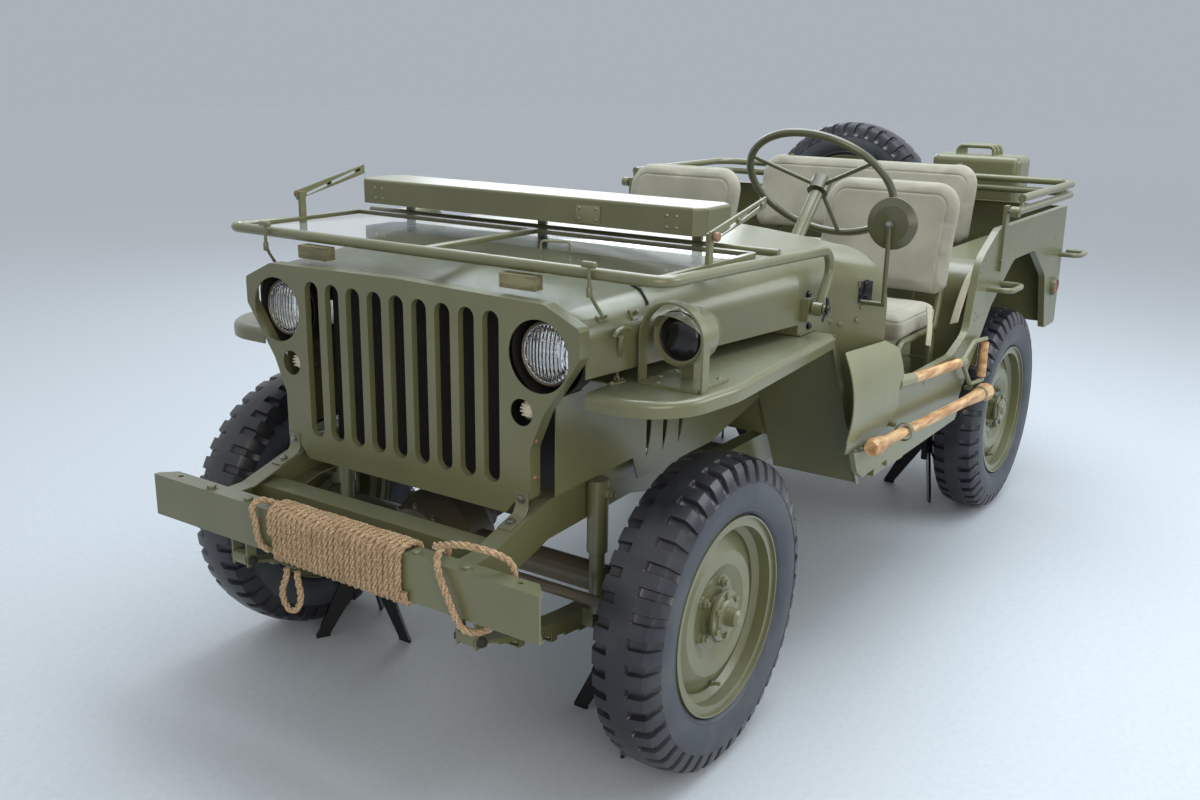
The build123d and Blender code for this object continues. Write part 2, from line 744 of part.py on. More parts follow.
with BuildPart() as tail_panel:
    half = body_half_width - body_flange - gap
    add(block((tail_x, tail_x + body_flange), (-half, half), (tail_low_z, side_top_z)))
    hollow_x = (tail_x + sheet, tail_x + body_flange + 1)
    add(block(hollow_x, (-half - 1, half + 1), (tail_low_z + sheet, side_top_z - sheet)), mode=Mode.SUBTRACT)
    spare_x = tail_x - spare_offset
    carrier = (
        (-1, 0), (-1, 70), (spare_offset - 42, 70), (spare_offset - 42, 20), (spare_offset + 20, 20),
        (spare_offset + 20, 0),
    )
    add(turned(carrier, (tail_x, spare_y, spare_z), (-1, 0, 0), (0, 0, 1)))
    can_x = tail_x - 12
    add(block((tail_x - 12, tail_x + 1), (can_y - 150, can_y + 150), (can_low_z - 30, 960)))
    tray_half = can_half_width + 5
    add(block(
        (can_x - can_depth - 6, tail_x - 11), (can_y - tray_half, can_y + tray_half),
        (can_low_z - 30, can_low_z - 26),
    ))
save(tail_panel, "tail_panel")

spare_tyre = tyre(0, 0, 0, 1)
spare_tyre_part = spare_tyre.part.rotate(Axis.Z, 90).translate((spare_x, spare_y, spare_z))
with BuildPart() as placed_spare_tyre:
    add(spare_tyre_part)
save(placed_spare_tyre, "spare_tyre")

with BuildPart() as spare_wheel:
    plane = Plane(origin=(spare_x, spare_y, spare_z), x_dir=(-1, 0, 0), z_dir=(0, 1, 0))
    spare_disc = (
        (27, 40), (27, 86), (40, 112), (40, 142), (16, 188), (10, 188), (34.5, 140), (34.5, 114), (21, 89),
        (21, 40),
    )
    for section in (rim_section, spare_disc):
        with BuildSketch(plane):
            with BuildLine():
                Polyline(*section, close=True)
            make_face()
        revolve(axis=Axis((spare_x, spare_y, spare_z), (1, 0, 0)))
save(spare_wheel, "spare_wheel")

with BuildPart() as fuel_can:
    add(block(
        (can_x - can_depth, can_x - 1), (can_y - can_half_width, can_y + can_half_width),
        (can_low_z - 25, can_high_z - 40),
    ))
    fillet(fuel_can.edges().filter_by(Axis.Z), 30)
    fillet(fuel_can.faces().sort_by(Axis.Z)[-1].edges(), 25)
    for offset_x in (-45, 0, 45):
        x = can_x - can_depth / 2 + offset_x
        add(rod(
            (
                (x, can_y - 80, can_high_z - 41), (x, can_y - 80, can_high_z - 8),
                (x, can_y + 60, can_high_z - 8), (x, can_y + 60, can_high_z - 41),
            ),
            8, 20,
        ))
save(fuel_can, "fuel_can")

# Front fender plan as (x, y) on the left side.
fender_nose_x = front_axle_x + 260
fender_nose_y = 668
fender_nose_bend = 150
fender_inner_y = 400
fender_bend_x = front_axle_x + 20
louvre_x = (front_axle_x - 105, front_axle_x - 178, front_axle_x - 251)
lamp_space = (front_axle_x + 165, 476)
fender_plan = (
    (fender_nose_x, lamp_space[1]), (fender_nose_x, fender_nose_y), (fender_bend_x, 698),
    (fender_rear_x, 655), (fender_rear_x, fender_inner_y), (lamp_space[0], fender_inner_y), lamp_space,
)


def rolled_edges(piece):
    """The outer and front edges of a fender's top."""
    top = piece.edges().group_by(Axis.Z)[-1]
    return top.filter_by(lambda e: abs(e.center().Y) > 560 or e.center().X > fender_nose_x - 8)


def fender(side, name):
    """A flat-topped front fender: rolled edge, louvred inner panel and sloping rear apron with a rib."""
    inside_plan = (
        (fender_nose_x - sheet, side * (fender_inner_y - 5)),
        (fender_nose_x - sheet, side * (fender_nose_y - sheet)), (fender_bend_x, side * (698 - sheet)),
        (fender_rear_x - 5, side * (655 - sheet)), (fender_rear_x - 5, side * (fender_inner_y - 5)),
    )
    with BuildPart() as inside:
        with BuildSketch(Plane.XY.offset(fender_top_z - fender_edge - 1)) as hollow:
            with BuildLine():
                Polyline(*inside_plan, close=True)
            make_face()
            fillet(nearest(hollow, *inside_plan[1]), fender_nose_bend - sheet)
            fillet(nearest(hollow, *inside_plan[2]), 2 * fender_nose_bend)
        extrude(amount=fender_edge + 1 - sheet)
        fillet(rolled_edges(inside), fender_roll - sheet)
    with BuildPart() as piece:
        with BuildSketch(Plane.XY.offset(fender_top_z - fender_edge)) as plan:
            with BuildLine():
                Polyline(*[(x, side * y) for x, y in fender_plan], close=True)
            make_face()
            fillet(nearest(plan, fender_nose_x, side * fender_nose_y), fender_nose_bend)
            fillet(nearest(plan, fender_bend_x, side * 698), 2 * fender_nose_bend)
        extrude(amount=fender_edge)
        fillet(rolled_edges(piece), fender_roll)
        add(inside.part, mode=Mode.SUBTRACT)
        add(slab(
            (
                (fender_rear_x + 4, fender_top_z - 1), (fender_rear_x, fender_top_z - 1),
                apron_low, (apron_low[0] + 4, apron_low[1]),
            ),
            *sorted((side * fender_inner_y, side * 655)),
        ))
        add(slab(
            (
                (fender_rear_x + 18, fender_top_z - 20), (fender_rear_x, fender_top_z - 20),
                apron_low, (apron_low[0] + 18, apron_low[1]),
            ),
            *sorted((side * 652, side * 655)),
        ))
        add(slab(
            (
                (fender_nose_x - 4, 650), (fender_nose_x - 4, 860), (lamp_space[0], 860),
                (lamp_space[0], fender_top_z - 1), (fender_rear_x + 3, fender_top_z - 1),
                (front_axle_x - 668, 660), (front_axle_x - 400, 600), (front_axle_x - 60, 600),
                (front_axle_x - 40, 655),
            ),
            *sorted((side * fender_inner_y, side * (fender_inner_y + sheet))),
        ))
        cut_y = max(side * (fender_inner_y - 1), side * (fender_inner_y + sheet + 1))
        for x in louvre_x:
            with BuildSketch(Plane.XZ.offset(-cut_y)):
                with BuildLine():
                    straight = Line((x + 10, 640), (x + 10, 810))
                    ThreePointArc(straight @ 1, (x - 12, 735), straight @ 0)
                make_face()
            extrude(amount=sheet + 2, mode=Mode.SUBTRACT)
    save(piece, name)


fender(1, "left_front_fender")
fender(-1, "right_front_fender")

# Leaf springs as (axle x, half span, top of the stack at the axle, top of the damper).
springs = (
    (front_axle_x, 462, axle_z - axle_tube_radius - 4, 640),
    (rear_axle_x, 480, axle_z - axle_tube_radius - 7, 590),
)
spring_y = 345
leaf = 7
with BuildPart() as springs_and_dampers:
    for x, half_span, seat_z, damper_high_z in springs:
        for side in (1, -1):
            low, high = sorted((side * (spring_y - 22), side * (spring_y + 22)))
            for i in range(7):
                reach = half_span - i * 58
                lift = 74 * (reach / half_span) ** 2
                top = seat_z - i * leaf
                with BuildSketch(Plane.XZ.offset(-high)):
                    with BuildLine():
                        upper = ThreePointArc((x - reach, top + lift), (x, top), (x + reach, top + lift))
                        tip = Line(upper @ 1, (x + reach, top + lift - leaf))
                        lower = ThreePointArc(tip @ 1, (x, top - leaf), (x - reach, top + lift - leaf))
                        Line(lower @ 1, upper @ 0)
                    make_face()
                extrude(amount=high - low)
            eye_z = seat_z + 74 + 6
            for eye_x in (x + half_span + 6, x - half_span - 6):
                with BuildSketch(Plane.XZ.offset(-high)):
                    with Locations((eye_x, eye_z)):
                        Circle(17)
                extrude(amount=high - low)
                for plate_low in (low - 5, high):
                    plate_top = min(rail_low_z(eye_x - 13), rail_low_z(eye_x + 13)) - gap
                    add(block((eye_x - 13, eye_x + 13), (plate_low, plate_low + 5), (eye_z - 18, plate_top)))
            damper_x = x + 90
            damper_y = side * 396
            add(rod(((damper_x, damper_y, 322), (damper_x, damper_y, 480)), 18))
            add(rod(((damper_x, damper_y, 470), (damper_x, damper_y, damper_high_z)), 24))
            bracket_y = sorted((side * (spring_y + 21), side * 396))
            add(block((damper_x - 14, damper_x + 14), bracket_y, (284, 328)))
save(springs_and_dampers, "springs_and_dampers")

with BuildPart() as propeller_shafts:
    transfer_z = 440
    for start, end in (
        ((front_axle_x - 846, diff_y, transfer_z), (front_axle_x - 169, diff_y, axle_z)),
        ((front_axle_x - 1014, diff_y, transfer_z), (rear_axle_x + 169, diff_y, axle_z)),
    ):
        add(rod((start, end), 25))
save(propeller_shafts, "propeller_shafts")

with BuildPart() as exhaust:
    add(rod(
        (
            (front_axle_x - 300, -230, 470), (front_axle_x - 480, -240, 405), (front_axle_x - 700, -500, 400),
            (front_axle_x - 900, -500, 400),
        ),
        19, 50,
    ))
    add(rod(((front_axle_x - 890, -500, 400), (front_axle_x - 1420, -500, 400)), 58))
    pipe_end_x = front_axle_x - 1530
    add(rod(((front_axle_x - 1410, -500, 400), (pipe_end_x, -500, 400), (pipe_end_x, -690, 400)), 19, 40))
save(exhaust, "exhaust")

with BuildPart() as fuel_tank:
    add(block(
        (seat_rear_x + 95, seat_front_x - 48), (driver_seat_y - 172, driver_seat_y + 172),
        (floor_z + sheet + gap, 664),
    ))
    fillet(fuel_tank.edges().filter_by(Axis.Z), 40)
    fillet(fuel_tank.faces().sort_by(Axis.Z)[-1].edges(), 20)
save(fuel_tank, "fuel_tank")


def back_x(z):
    """Where the front face of a front seat's back pad is at height z."""
    return seat_rear_x + 50 - back_lean * (z - back_low_z)


def seat_frame(centre_y, front_foot_z):
    """A tube seat: a hoop for the back, a loop for the cushion and its legs."""
    y_in, y_out = centre_y - seat_leg_y, centre_y + seat_leg_y
    loop_z = seat_low_z - seat_tube_radius - gap
    floor_top = floor_z + sheet + gap
    with BuildPart() as piece:
        for y in (y_in, y_out):
            add(rod(
                (
                    (seat_pivot_x, y, front_foot_z), (seat_pivot_x, y, loop_z), (seat_rear_x + 20, y, loop_z),
                    (seat_rear_x + 60, y, floor_top + 2.5),
                ),
                seat_tube_radius, 45,
            ))
            if front_foot_z == seat_pivot_z:
                bore = seat_pin_radius + running_gap
                for radius, mode in ((seat_tube_radius, Mode.ADD), (bore, Mode.SUBTRACT)):
                    with BuildSketch(Plane.XZ.offset(-y - seat_tube_radius)):
                        with Locations((seat_pivot_x, seat_pivot_z)):
                            Circle(radius)
                    extrude(amount=2 * seat_tube_radius, mode=mode)
        add(rod(((seat_front_x - 80, y_in, loop_z), (seat_front_x - 80, y_out, loop_z)), seat_tube_radius))
        add(rod(((seat_rear_x + 60, y_in, loop_z), (seat_rear_x + 60, y_out, loop_z)), seat_tube_radius))
        low_x, high_x = (back_x(z) - back_depth - seat_tube_radius - 3 for z in (loop_z, 1165))
        add(rod(
            ((low_x, y_in, loop_z), (high_x, y_in, 1165), (high_x, y_out, 1165), (low_x, y_out, loop_z)),
            seat_tube_radius, 70,
        ))
        for y in (y_in, y_out):
            add(rod(((low_x, y, loop_z), (seat_rear_x + 60, y, loop_z)), seat_tube_radius))
    return piece


def seat_pads(centre_y):
    """A cushion and a leaning back pad, as plain crowned blocks."""
    y_low, y_high = centre_y - seat_half_width, centre_y + seat_half_width
    with BuildPart() as cushion:
        add(block((seat_rear_x + 30, seat_front_x), (y_low, y_high), (seat_low_z, seat_high_z)))
        fillet(cushion.edges().filter_by(Axis.Z), 50)
        fillet(cushion.faces().sort_by(Axis.Z)[-1].edges(), 26)
        fillet(cushion.faces().sort_by(Axis.Z)[0].edges(), 12)
    with BuildPart() as back:
        face = [
            (back_x(z) - behind, z)
            for z, behind in (
                (back_low_z, back_depth), (back_low_z, 0), (back_high_z, 0), (back_high_z, back_depth),
            )
        ]
        add(slab(face, y_low, y_high))
        corners = back.edges().filter_by(lambda e: abs(e.center().Y - centre_y) > seat_half_width - 1)
        fillet(corners.group_by(Axis.Z)[-1], 60)
        fillet(back.edges().filter_by(lambda e: abs(e.center().X - back_x(e.center().Z)) < 1), 14)
    with BuildPart() as pads:
        add(cushion.part)
        add(back.part)
    return pads


save(seat_frame(driver_seat_y, floor_z + sheet + gap), "driver_seat_frame")
save(seat_pads(driver_seat_y), "driver_seat_pads")
save(seat_frame(passenger_seat_y, seat_pivot_z), "passenger_seat_frame")
save(seat_pads(passenger_seat_y), "passenger_seat_pads")

rear_seat_half = 440
rear_seat_front_x = rear_axle_x + 180
rear_seat_rear_x = rear_axle_x - 200
with BuildPart() as rear_seat_pads:
    add(block((rear_seat_rear_x, rear_seat_front_x), (-rear_seat_half, rear_seat_half), (800, 880)))
    fillet(rear_seat_pads.edges(), 22)
    with BuildPart(mode=Mode.PRIVATE) as rear_back:
        add(slab(
            (
                (rear_seat_rear_x - 40, 900), (rear_seat_rear_x + 12, 900), (rear_seat_rear_x - 60, 1180),
                (rear_seat_rear_x - 110, 1180),
            ),
            -rear_seat_half, rear_seat_half,
        ))
        fillet(rear_back.edges(), 16)
    add(rear_back.part)
save(rear_seat_pads, "rear_seat_pads")

with BuildPart() as rear_seat_frame:
    floor_top = rear_floor_z + sheet + gap
    for y in (-380, 380):
        add(rod(
            (
                (rear_seat_front_x - 40, y, floor_top), (rear_seat_front_x - 40, y, 788),
                (rear_seat_rear_x - 20, y, 788), (rear_seat_rear_x - 20, y, floor_top),
            ),
            seat_tube_radius, 45,
        ))
    for y in (-345, 345):
        add(rod(((rear_seat_rear_x - 20, y, 735), (rear_seat_rear_x - 132, y, 1180)), seat_tube_radius - 1))
    for x, half, z in (
        (rear_seat_front_x - 90, 380, 788), (rear_seat_rear_x + 40, 380, 788), (rear_seat_rear_x - 20, 380, 735),
        (rear_seat_rear_x - 127, 370, 1165),
    ):
        add(rod(((x, -half, z), (x, half, z)), seat_tube_radius - 2))
save(rear_seat_frame, "rear_seat_frame")

column_end = column_top + column_dir * 666
with BuildPart() as driver_controls:
    add(rod((tuple(column_top), tuple(column_end)), 19))
    tunnel_top = 643
    for x, y, top_x, top_y, top_z in (
        (front_axle_x - 880, 0, front_axle_x - 1000, 10, 900),
        (front_axle_x - 930, -60, front_axle_x - 960, -70, 800),
        (front_axle_x - 930, -95, front_axle_x - 965, -105, 800),
    ):
        add(rod(((x, y, tunnel_top), (top_x, top_y, top_z)), 7))
        knob = ((-16, 0), (-16, 7), (-8, 16), (8, 16), (16, 8), (16, 0))
        add(turned(knob, (top_x, top_y, top_z), (0, 0, 1), (1, 0, 0)))
save(driver_controls, "driver_controls")

with BuildPart() as steering_wheel:
    plane = Plane(origin=steering_centre, x_dir=(0, 1, 0), z_dir=tuple(column_dir * -1))
    with BuildSketch(Plane(origin=steering_centre, x_dir=(0, 1, 0), z_dir=plane.y_dir)):
        with Locations((steering_rim_radius, 0)):
            Circle(11)
    revolve(axis=Axis(steering_centre, tuple(column_dir)))
    with BuildSketch(plane.offset(-28)):
        Circle(30)
    extrude(amount=44)
    for angle in (90, 210, 330):
        start = plane.from_local_coords(Vector(20 * cos(radians(angle)), 20 * sin(radians(angle)), -6))
        reach = steering_rim_radius - 2
        end = plane.from_local_coords(Vector(reach * cos(radians(angle)), reach * sin(radians(angle)), 0))
        add(rod((tuple(start), tuple(end)), 6))
save(steering_wheel, "steering_wheel")

# Windscreen: a tube hoop whose legs turn down to the pivots, an inner frame, glass and a sheet rack.
with BuildPart() as windscreen_frame:
    y = screen_half_width
    add(rod(
        (
            (pivot_x, -y, pivot_z), (screen_rear_x, -y, screen_rear_z), (screen_front_x, -y, screen_front_z),
            (screen_front_x, y, screen_front_z), (screen_rear_x, y, screen_rear_z), (pivot_x, y, pivot_z),
        ),
        screen_tube_radius, 45,
    ))
    add(rod(((front_axle_x - 270, -y, 1119), (front_axle_x - 270, y, 1119)), 9))
    for radius, mode in ((17, Mode.ADD), (screen_pin_radius + running_gap, Mode.SUBTRACT)):
        for side in (1, -1):
            with BuildSketch(Plane.XZ.offset(-side * y - screen_tube_radius)):
                with Locations(screen_pivot):
                    Circle(radius)
            extrude(amount=2 * screen_tube_radius, mode=mode)
save(windscreen_frame, "windscreen_frame")

glass_front_x = screen_front_x - 30
glass_rear_x = front_axle_x - 190
glass_half = screen_half_width - 32
inner_low_z = screen_front_z - 10
with BuildPart() as windscreen_inner_frame:
    rim = glass_half + 14
    add(block((glass_rear_x - 18, glass_front_x + 12), (-rim, rim), (inner_low_z, inner_low_z + 16)))
    fillet(windscreen_inner_frame.edges().filter_by(Axis.Z), 20)
    for y_low, y_high in ((-glass_half, -12), (12, glass_half)):
        pane = block((glass_rear_x, glass_front_x - 6), (y_low, y_high), (inner_low_z - 1, inner_low_z + 17))
        add(pane, mode=Mode.SUBTRACT)
    arm_x, arm_z = front_axle_x + 4, 1182
    end_x, end_z = front_axle_x - 221, 1234
    for side in (1, -1):
        post = (inner_low_z + 15, arm_z + 8)
        add(block((arm_x - 9, arm_x + 9), sorted((side * (glass_half + 3), side * (glass_half + 12))), post))
        for inset, mode in ((0, Mode.ADD), (8, Mode.SUBTRACT)):
            half_height = 12 - inset
            arm = (
                (arm_x + 12 - 4 * inset, arm_z - half_height), (end_x - 6 + 2 * inset, end_z - half_height),
                (end_x - 6 + 2 * inset, end_z + half_height), (arm_x + 12 - 4 * inset, arm_z + half_height),
            )
            add(slab(arm, *sorted((side * (glass_half + 11), side * (glass_half + 16)))), mode=mode)
save(windscreen_inner_frame, "windscreen_inner_frame")

with BuildPart() as windscreen_glass:
    for y_low, y_high in ((-glass_half, -12), (12, glass_half)):
        add(block((glass_rear_x, glass_front_x - 6), (y_low, y_high), (inner_low_z + 5, inner_low_z + 11)))
save(windscreen_glass, "windscreen_glass")

with BuildPart() as windscreen_rack:
    add(block((front_axle_x - 303, front_axle_x - 150), (-560, 500), (1155, 1218)))
    chamfer(windscreen_rack.edges().filter_by(Axis.Z), 26)
    fillet(windscreen_rack.faces().sort_by(Axis.Z)[-1].edges(), 7)
    for y in (-480, -30, 420):
        add(block((front_axle_x - 275, front_axle_x - 265), (y - 12, y + 12), (1128 + gap, 1156)))
save(windscreen_rack, "windscreen_rack")

with BuildPart() as top_bows:
    px, pz = bow_pivot
    back_x = tail_x + 58
    for z, start_x in ((pz, px), (pz + bow_rise, px - 60)):
        y = bow_half_width
        add(rod(((start_x, y, z), (back_x, y, z), (back_x, -y, z), (start_x, -y, z)), bow_radius, 70))
    for side in (1, -1):
        y = side * bow_half_width
        with BuildSketch(Plane.XZ.offset(-y - bow_radius)):
            with Locations((px, pz)):
                Circle(17)
        extrude(amount=2 * bow_radius)
        add(block((px - 80, px - 52), (y - 4, y + 4), (pz, pz + bow_rise)))
        with BuildSketch(Plane.XZ.offset(-y - bow_radius - 1)):
            with Locations((px, pz)):
                Circle(6 + running_gap)
        extrude(amount=2 * bow_radius + 2, mode=Mode.SUBTRACT)
save(top_bows, "top_bows")

mirror_radius = 64
with BuildPart() as driving_mirror:
    head_y = overall_width / 2 - mirror_radius
    head = (front_axle_x - 700, head_y, 1150)
    shell = ((-8, 0), (-8, mirror_radius), (0, mirror_radius), (8, mirror_radius * 0.7), (12, 0))
    add(turned(shell, head, (1, 0, 0), (0, 0, 1)))
    add(rod(((head[0] + 16, head_y, 950), (head[0] + 16, head_y, 1150)), 6))
    add(rod(((head[0] + 16, body_half_width - 40, 950), (head[0] + 16, head_y + 5, 950)), 6))
save(driving_mirror, "driving_mirror")

# Tools strapped to the left side: a shovel and a pick handle.
tool_y = body_half_width + 2
blade_outline = (
    (-500, 858), (-745, 845), (-818, 815), (-834, 735), (-800, 706), (-828, 660), (-795, 598), (-700, 576),
    (-540, 590), (-500, 640),
)
blade_curve = 300
blade_z = 722
socket = (front_axle_x - 815, tool_y + 18, 719)
socket_end = (front_axle_x - 943, tool_y + 18, 704)
shaft_end = (front_axle_x - 1336, tool_y + 18, 669)
with BuildPart() as tool_heads:
    with BuildSketch(Plane.XZ.offset(-tool_y - 45)):
        with BuildLine():
            Polyline(*[(front_axle_x + x, z) for x, z in blade_outline], close=True)
        make_face()
    extrude(amount=50)
    fillet(tool_heads.edges().filter_by(Axis.Y), 14)
    with BuildSketch(Plane.YZ.offset(front_axle_x - 860)):
        with Locations((tool_y + 34 - blade_curve, blade_z)):
            Circle(blade_curve)
            Circle(blade_curve - sheet, mode=Mode.SUBTRACT)
    extrude(amount=400, mode=Mode.INTERSECT)
    neck = Vector(*socket_end) - Vector(*socket)
    funnel = ((0, 0), (0, 20), (neck.length, 17), (neck.length, 0))
    add(turned(funnel, socket, tuple(neck.normalized()), (0, 1, 0)))
    grip_x, grip_low_z, grip_high_z = front_axle_x - 1590, 578, 690
    root = (shaft_end[0] - gap, tool_y + 18, shaft_end[2])
    add(rod((root, (root[0] - 60, root[1], root[2] - 5)), 13))
    for bend_z, end_z in ((712, grip_high_z + 8), (574, grip_low_z - 14)):
        tine = (
            (root[0] - 40, root[1], root[2] - 3), (root[0] - 140, root[1], bend_z), (grip_x - 14, root[1], end_z),
        )
        add(rod(tine, 7, 40))
    add(slab(
        (
            (front_axle_x - 570, 588), (front_axle_x - 815, 545), (front_axle_x - 812, 508),
            (front_axle_x - 640, 505), (front_axle_x - 600, 530),
        ),
        tool_y, tool_y + 14,
    ))
    add(slab(
        (
            (front_axle_x - 813, 567), (front_axle_x - 978, 548), (front_axle_x - 978, 505),
            (front_axle_x - 950, 474), (front_axle_x - 835, 480),
        ),
        tool_y - 1.5, tool_y + 6,
    ))
save(tool_heads, "tool_heads")

handle_start = Vector(front_axle_x - 600, tool_y + 46, 600)
handle_end = Vector(front_axle_x - 1566, tool_y + 46, 538)
handle_section = (
    (0, 0), (0, 18), (18, 25), (55, 21), (110, 15), (300, 15), (760, 16), (880, 21), (945, 29), (962, 27),
    (962, 0),
)
with BuildPart() as tool_shafts:
    add(rod(((socket_end[0] - 3 * gap, socket_end[1], socket_end[2]), shaft_end), 15))
    add(rod(((grip_x, root[1], grip_low_z), (grip_x, root[1], grip_high_z)), 14))
    along = (handle_end - handle_start).normalized()
    add(turned(handle_section, tuple(handle_start), tuple(along), (0, 1, 0)))
save(tool_shafts, "tool_shafts")

with BuildPart() as blackout_lamp:
    lamp_centre = (front_axle_x + 40, 592, 985)
    add(turned(
        ((50, 0), (50, 54), (58, 58), (40, 60), (-10, 58), (-52, 40), (-62, 0)),
        lamp_centre, (1, 0, 0), (0, 0, 1),
    ))
    add(block((front_axle_x + 25, front_axle_x + 55), (577, 607), (fender_top_z + gap, 930)))
    add(block((front_axle_x, front_axle_x + 130), (524, 660), (fender_top_z + gap, fender_top_z + 6)))
    with BuildSketch(Plane.YZ.offset(front_axle_x + 100)):
        with BuildLine():
            legs_in = Line((516, fender_top_z + gap), (516, 985))
            hoop = ThreePointArc(legs_in @ 1, (592, 1064), (668, 985))
            leg_out = Line(hoop @ 1, (668, fender_top_z + gap))
            foot = Line(leg_out @ 1, (663, fender_top_z + gap))
            inner_leg = Line(foot @ 1, (663, 985))
            inner_hoop = ThreePointArc(inner_leg @ 1, (592, 1059), (521, 985))
            last_leg = Line(inner_hoop @ 1, (521, fender_top_z + gap))
            Line(last_leg @ 1, legs_in @ 0)
        make_face()
    extrude(amount=26)
save(blackout_lamp, "blackout_lamp")

with BuildPart() as hood_blocks:
    for y in (-300, 300):
        add(block((front_axle_x + 225, front_axle_x + 255), (y - 45, y + 45), (1075, 1105)))
save(hood_blocks, "hood_blocks")

with BuildPart() as axle_stands:
    head_z = axle_z - axle_tube_radius - 3 - gap
    foot = ((112, 0), (112, 8), (12, 160), (4, 160))
    edge = ((4, head_z - 48), (18, head_z - 48), (150, 8), (150, 0))
    for x, y in ((front_axle_x, 425), (front_axle_x, -425), (rear_axle_x, 425), (rear_axle_x, -425)):
        with BuildSketch(Plane.XY.offset(120)):
            with Locations((x, y)):
                Circle(16)
        extrude(amount=head_z - 120)
        for turn in (30, 150, 270):
            angle = turn if y > 0 else -turn
            out = Vector(cos(radians(angle)), sin(radians(angle)), 0)
            plane = Plane(origin=(x, y, 0), x_dir=tuple(out), z_dir=(out.Y, -out.X, 0))
            with BuildSketch(plane.offset(-4)):
                with BuildLine():
                    Polyline(*edge, *foot, close=True)
                make_face()
            extrude(amount=8)
save(axle_stands, "axle_stands")

# Tow rope: the turns on the bumper as one closed ring, and two free stretches.
ring_low_z, ring_high_z = bumper_top_z - bumper_height - winding_grow, bumper_top_z + winding_grow
ring_rear_x, ring_front_x = bumper_x - bumper_depth - winding_grow, bumper_x + winding_grow
with BuildPart() as rope_winding:
    add(block((ring_rear_x, ring_front_x), (winding_low_y, winding_high_y), (ring_low_z, ring_high_z)))
    fillet(rope_winding.edges().filter_by(Axis.Y), 14)
    inside_y = (winding_low_y - 1, winding_high_y + 1)
    inside_z = (bumper_top_z - bumper_height, bumper_top_z)
    add(block((bumper_x - bumper_depth, bumper_x), inside_y, inside_z), mode=Mode.SUBTRACT)
save(rope_winding, "rope_winding")


def cord(points, name):
    """A limp round cord along points, each corner bent as wide as its shorter neighbour allows."""
    radii = []
    for before, here, after in zip(points, points[1:], points[2:]):
        back, on = Vector(*here) - Vector(*before), Vector(*after) - Vector(*here)
        half_turn = radians(back.get_angle(on)) / 2
        radii.append(0.45 * min(back.length, on.length) / tan(half_turn))
    with BuildPart() as piece:
        with BuildLine() as route:
            FilletPolyline(*points, radius=radii)
        with BuildSketch(Plane(origin=route.line @ 0, z_dir=route.line % 0)):
            Circle(rope_radius)
        sweep(path=route.line)
    expected = pi * rope_radius ** 2 * sum(edge.length for edge in route.line.edges())
    print(name, "bend radii", [round(radius, 1) for radius in radii])
    print(name, "volume", round(piece.part.volume), "section times length", round(expected))
    save(piece, name)


face_x = bumper_x + 9.5
back_face_x = bumper_x - bumper_depth
cord(
    (
        (bumper_x - 24, winding_low_y, 583), (bumper_x - 24, -183, 583), (bumper_x - 4, -203, 592),
        (bumper_x + 17, -210, 575), (face_x, -204, 545), (face_x, -202, 512), (face_x, -188, 486),
        (face_x, winding_low_y, 486),
    ),
    "rope_start",
)
cord(
    (
        (bumper_x + 8, -112, ring_low_z), (bumper_x + 8, -112, ring_low_z - 18), (bumper_x + 8, -130, 408),
        (bumper_x + 8, -132, 378), (bumper_x + 8, -108, 352), (bumper_x + 8, -80, 370), (bumper_x + 8, -70, 404),
        (bumper_x + 8, -80, ring_low_z - 18), (bumper_x + 8, -80, ring_low_z),
    ),
    "rope_bight",
)
cord(
    (
        (back_face_x - 9, winding_high_y, 530), (back_face_x - 9, winding_high_y + 22, 530),
        (back_face_x - 10, 288, 552), (back_face_x - 12, 302, 582), (bumper_x - 30, 312, 600),
        (bumper_x + 4, 322, 593), (bumper_x + 15, 336, 562), (bumper_x + 16, 364, 512), (bumper_x + 13, 386, 462),
        (bumper_x - 6, 398, 446), (bumper_x - 36, 412, 442), (bumper_x - 58, 432, 462), (bumper_x - 66, 450, 505),
        (bumper_x - 66, 462, 552), (bumper_x - 54, 466, 594), (bumper_x - 28, 452, 618), (bumper_x - 6, 420, 631),
        (bumper_x + 4, 376, 632), (bumper_x + 4, 336, 619), (bumper_x + 1, 316, 612),
    ),
    "rope_end",
)
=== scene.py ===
import json
import math
import random

import bmesh
import bpy
from bpy.props import FloatProperty, FloatVectorProperty, IntProperty, PointerProperty
from mathutils import Matrix, Vector


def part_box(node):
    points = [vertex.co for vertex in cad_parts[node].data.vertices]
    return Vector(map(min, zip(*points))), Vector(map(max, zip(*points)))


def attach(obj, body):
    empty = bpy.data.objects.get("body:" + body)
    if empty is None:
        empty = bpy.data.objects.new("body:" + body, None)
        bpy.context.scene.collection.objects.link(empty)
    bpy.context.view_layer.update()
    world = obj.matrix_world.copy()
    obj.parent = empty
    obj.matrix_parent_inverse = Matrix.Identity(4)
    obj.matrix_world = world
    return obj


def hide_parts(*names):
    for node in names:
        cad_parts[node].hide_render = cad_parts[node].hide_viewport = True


bl_info = {
    "name": "Army 4x4 car",
    "version": (1, 0, 0),
    "blender": (4, 5, 0),
    "location": "3D View > Sidebar > Car",
    "description": "Paint, tyres, rope, seats and small fittings for an open army 4x4 car",
    "category": "Object",
}

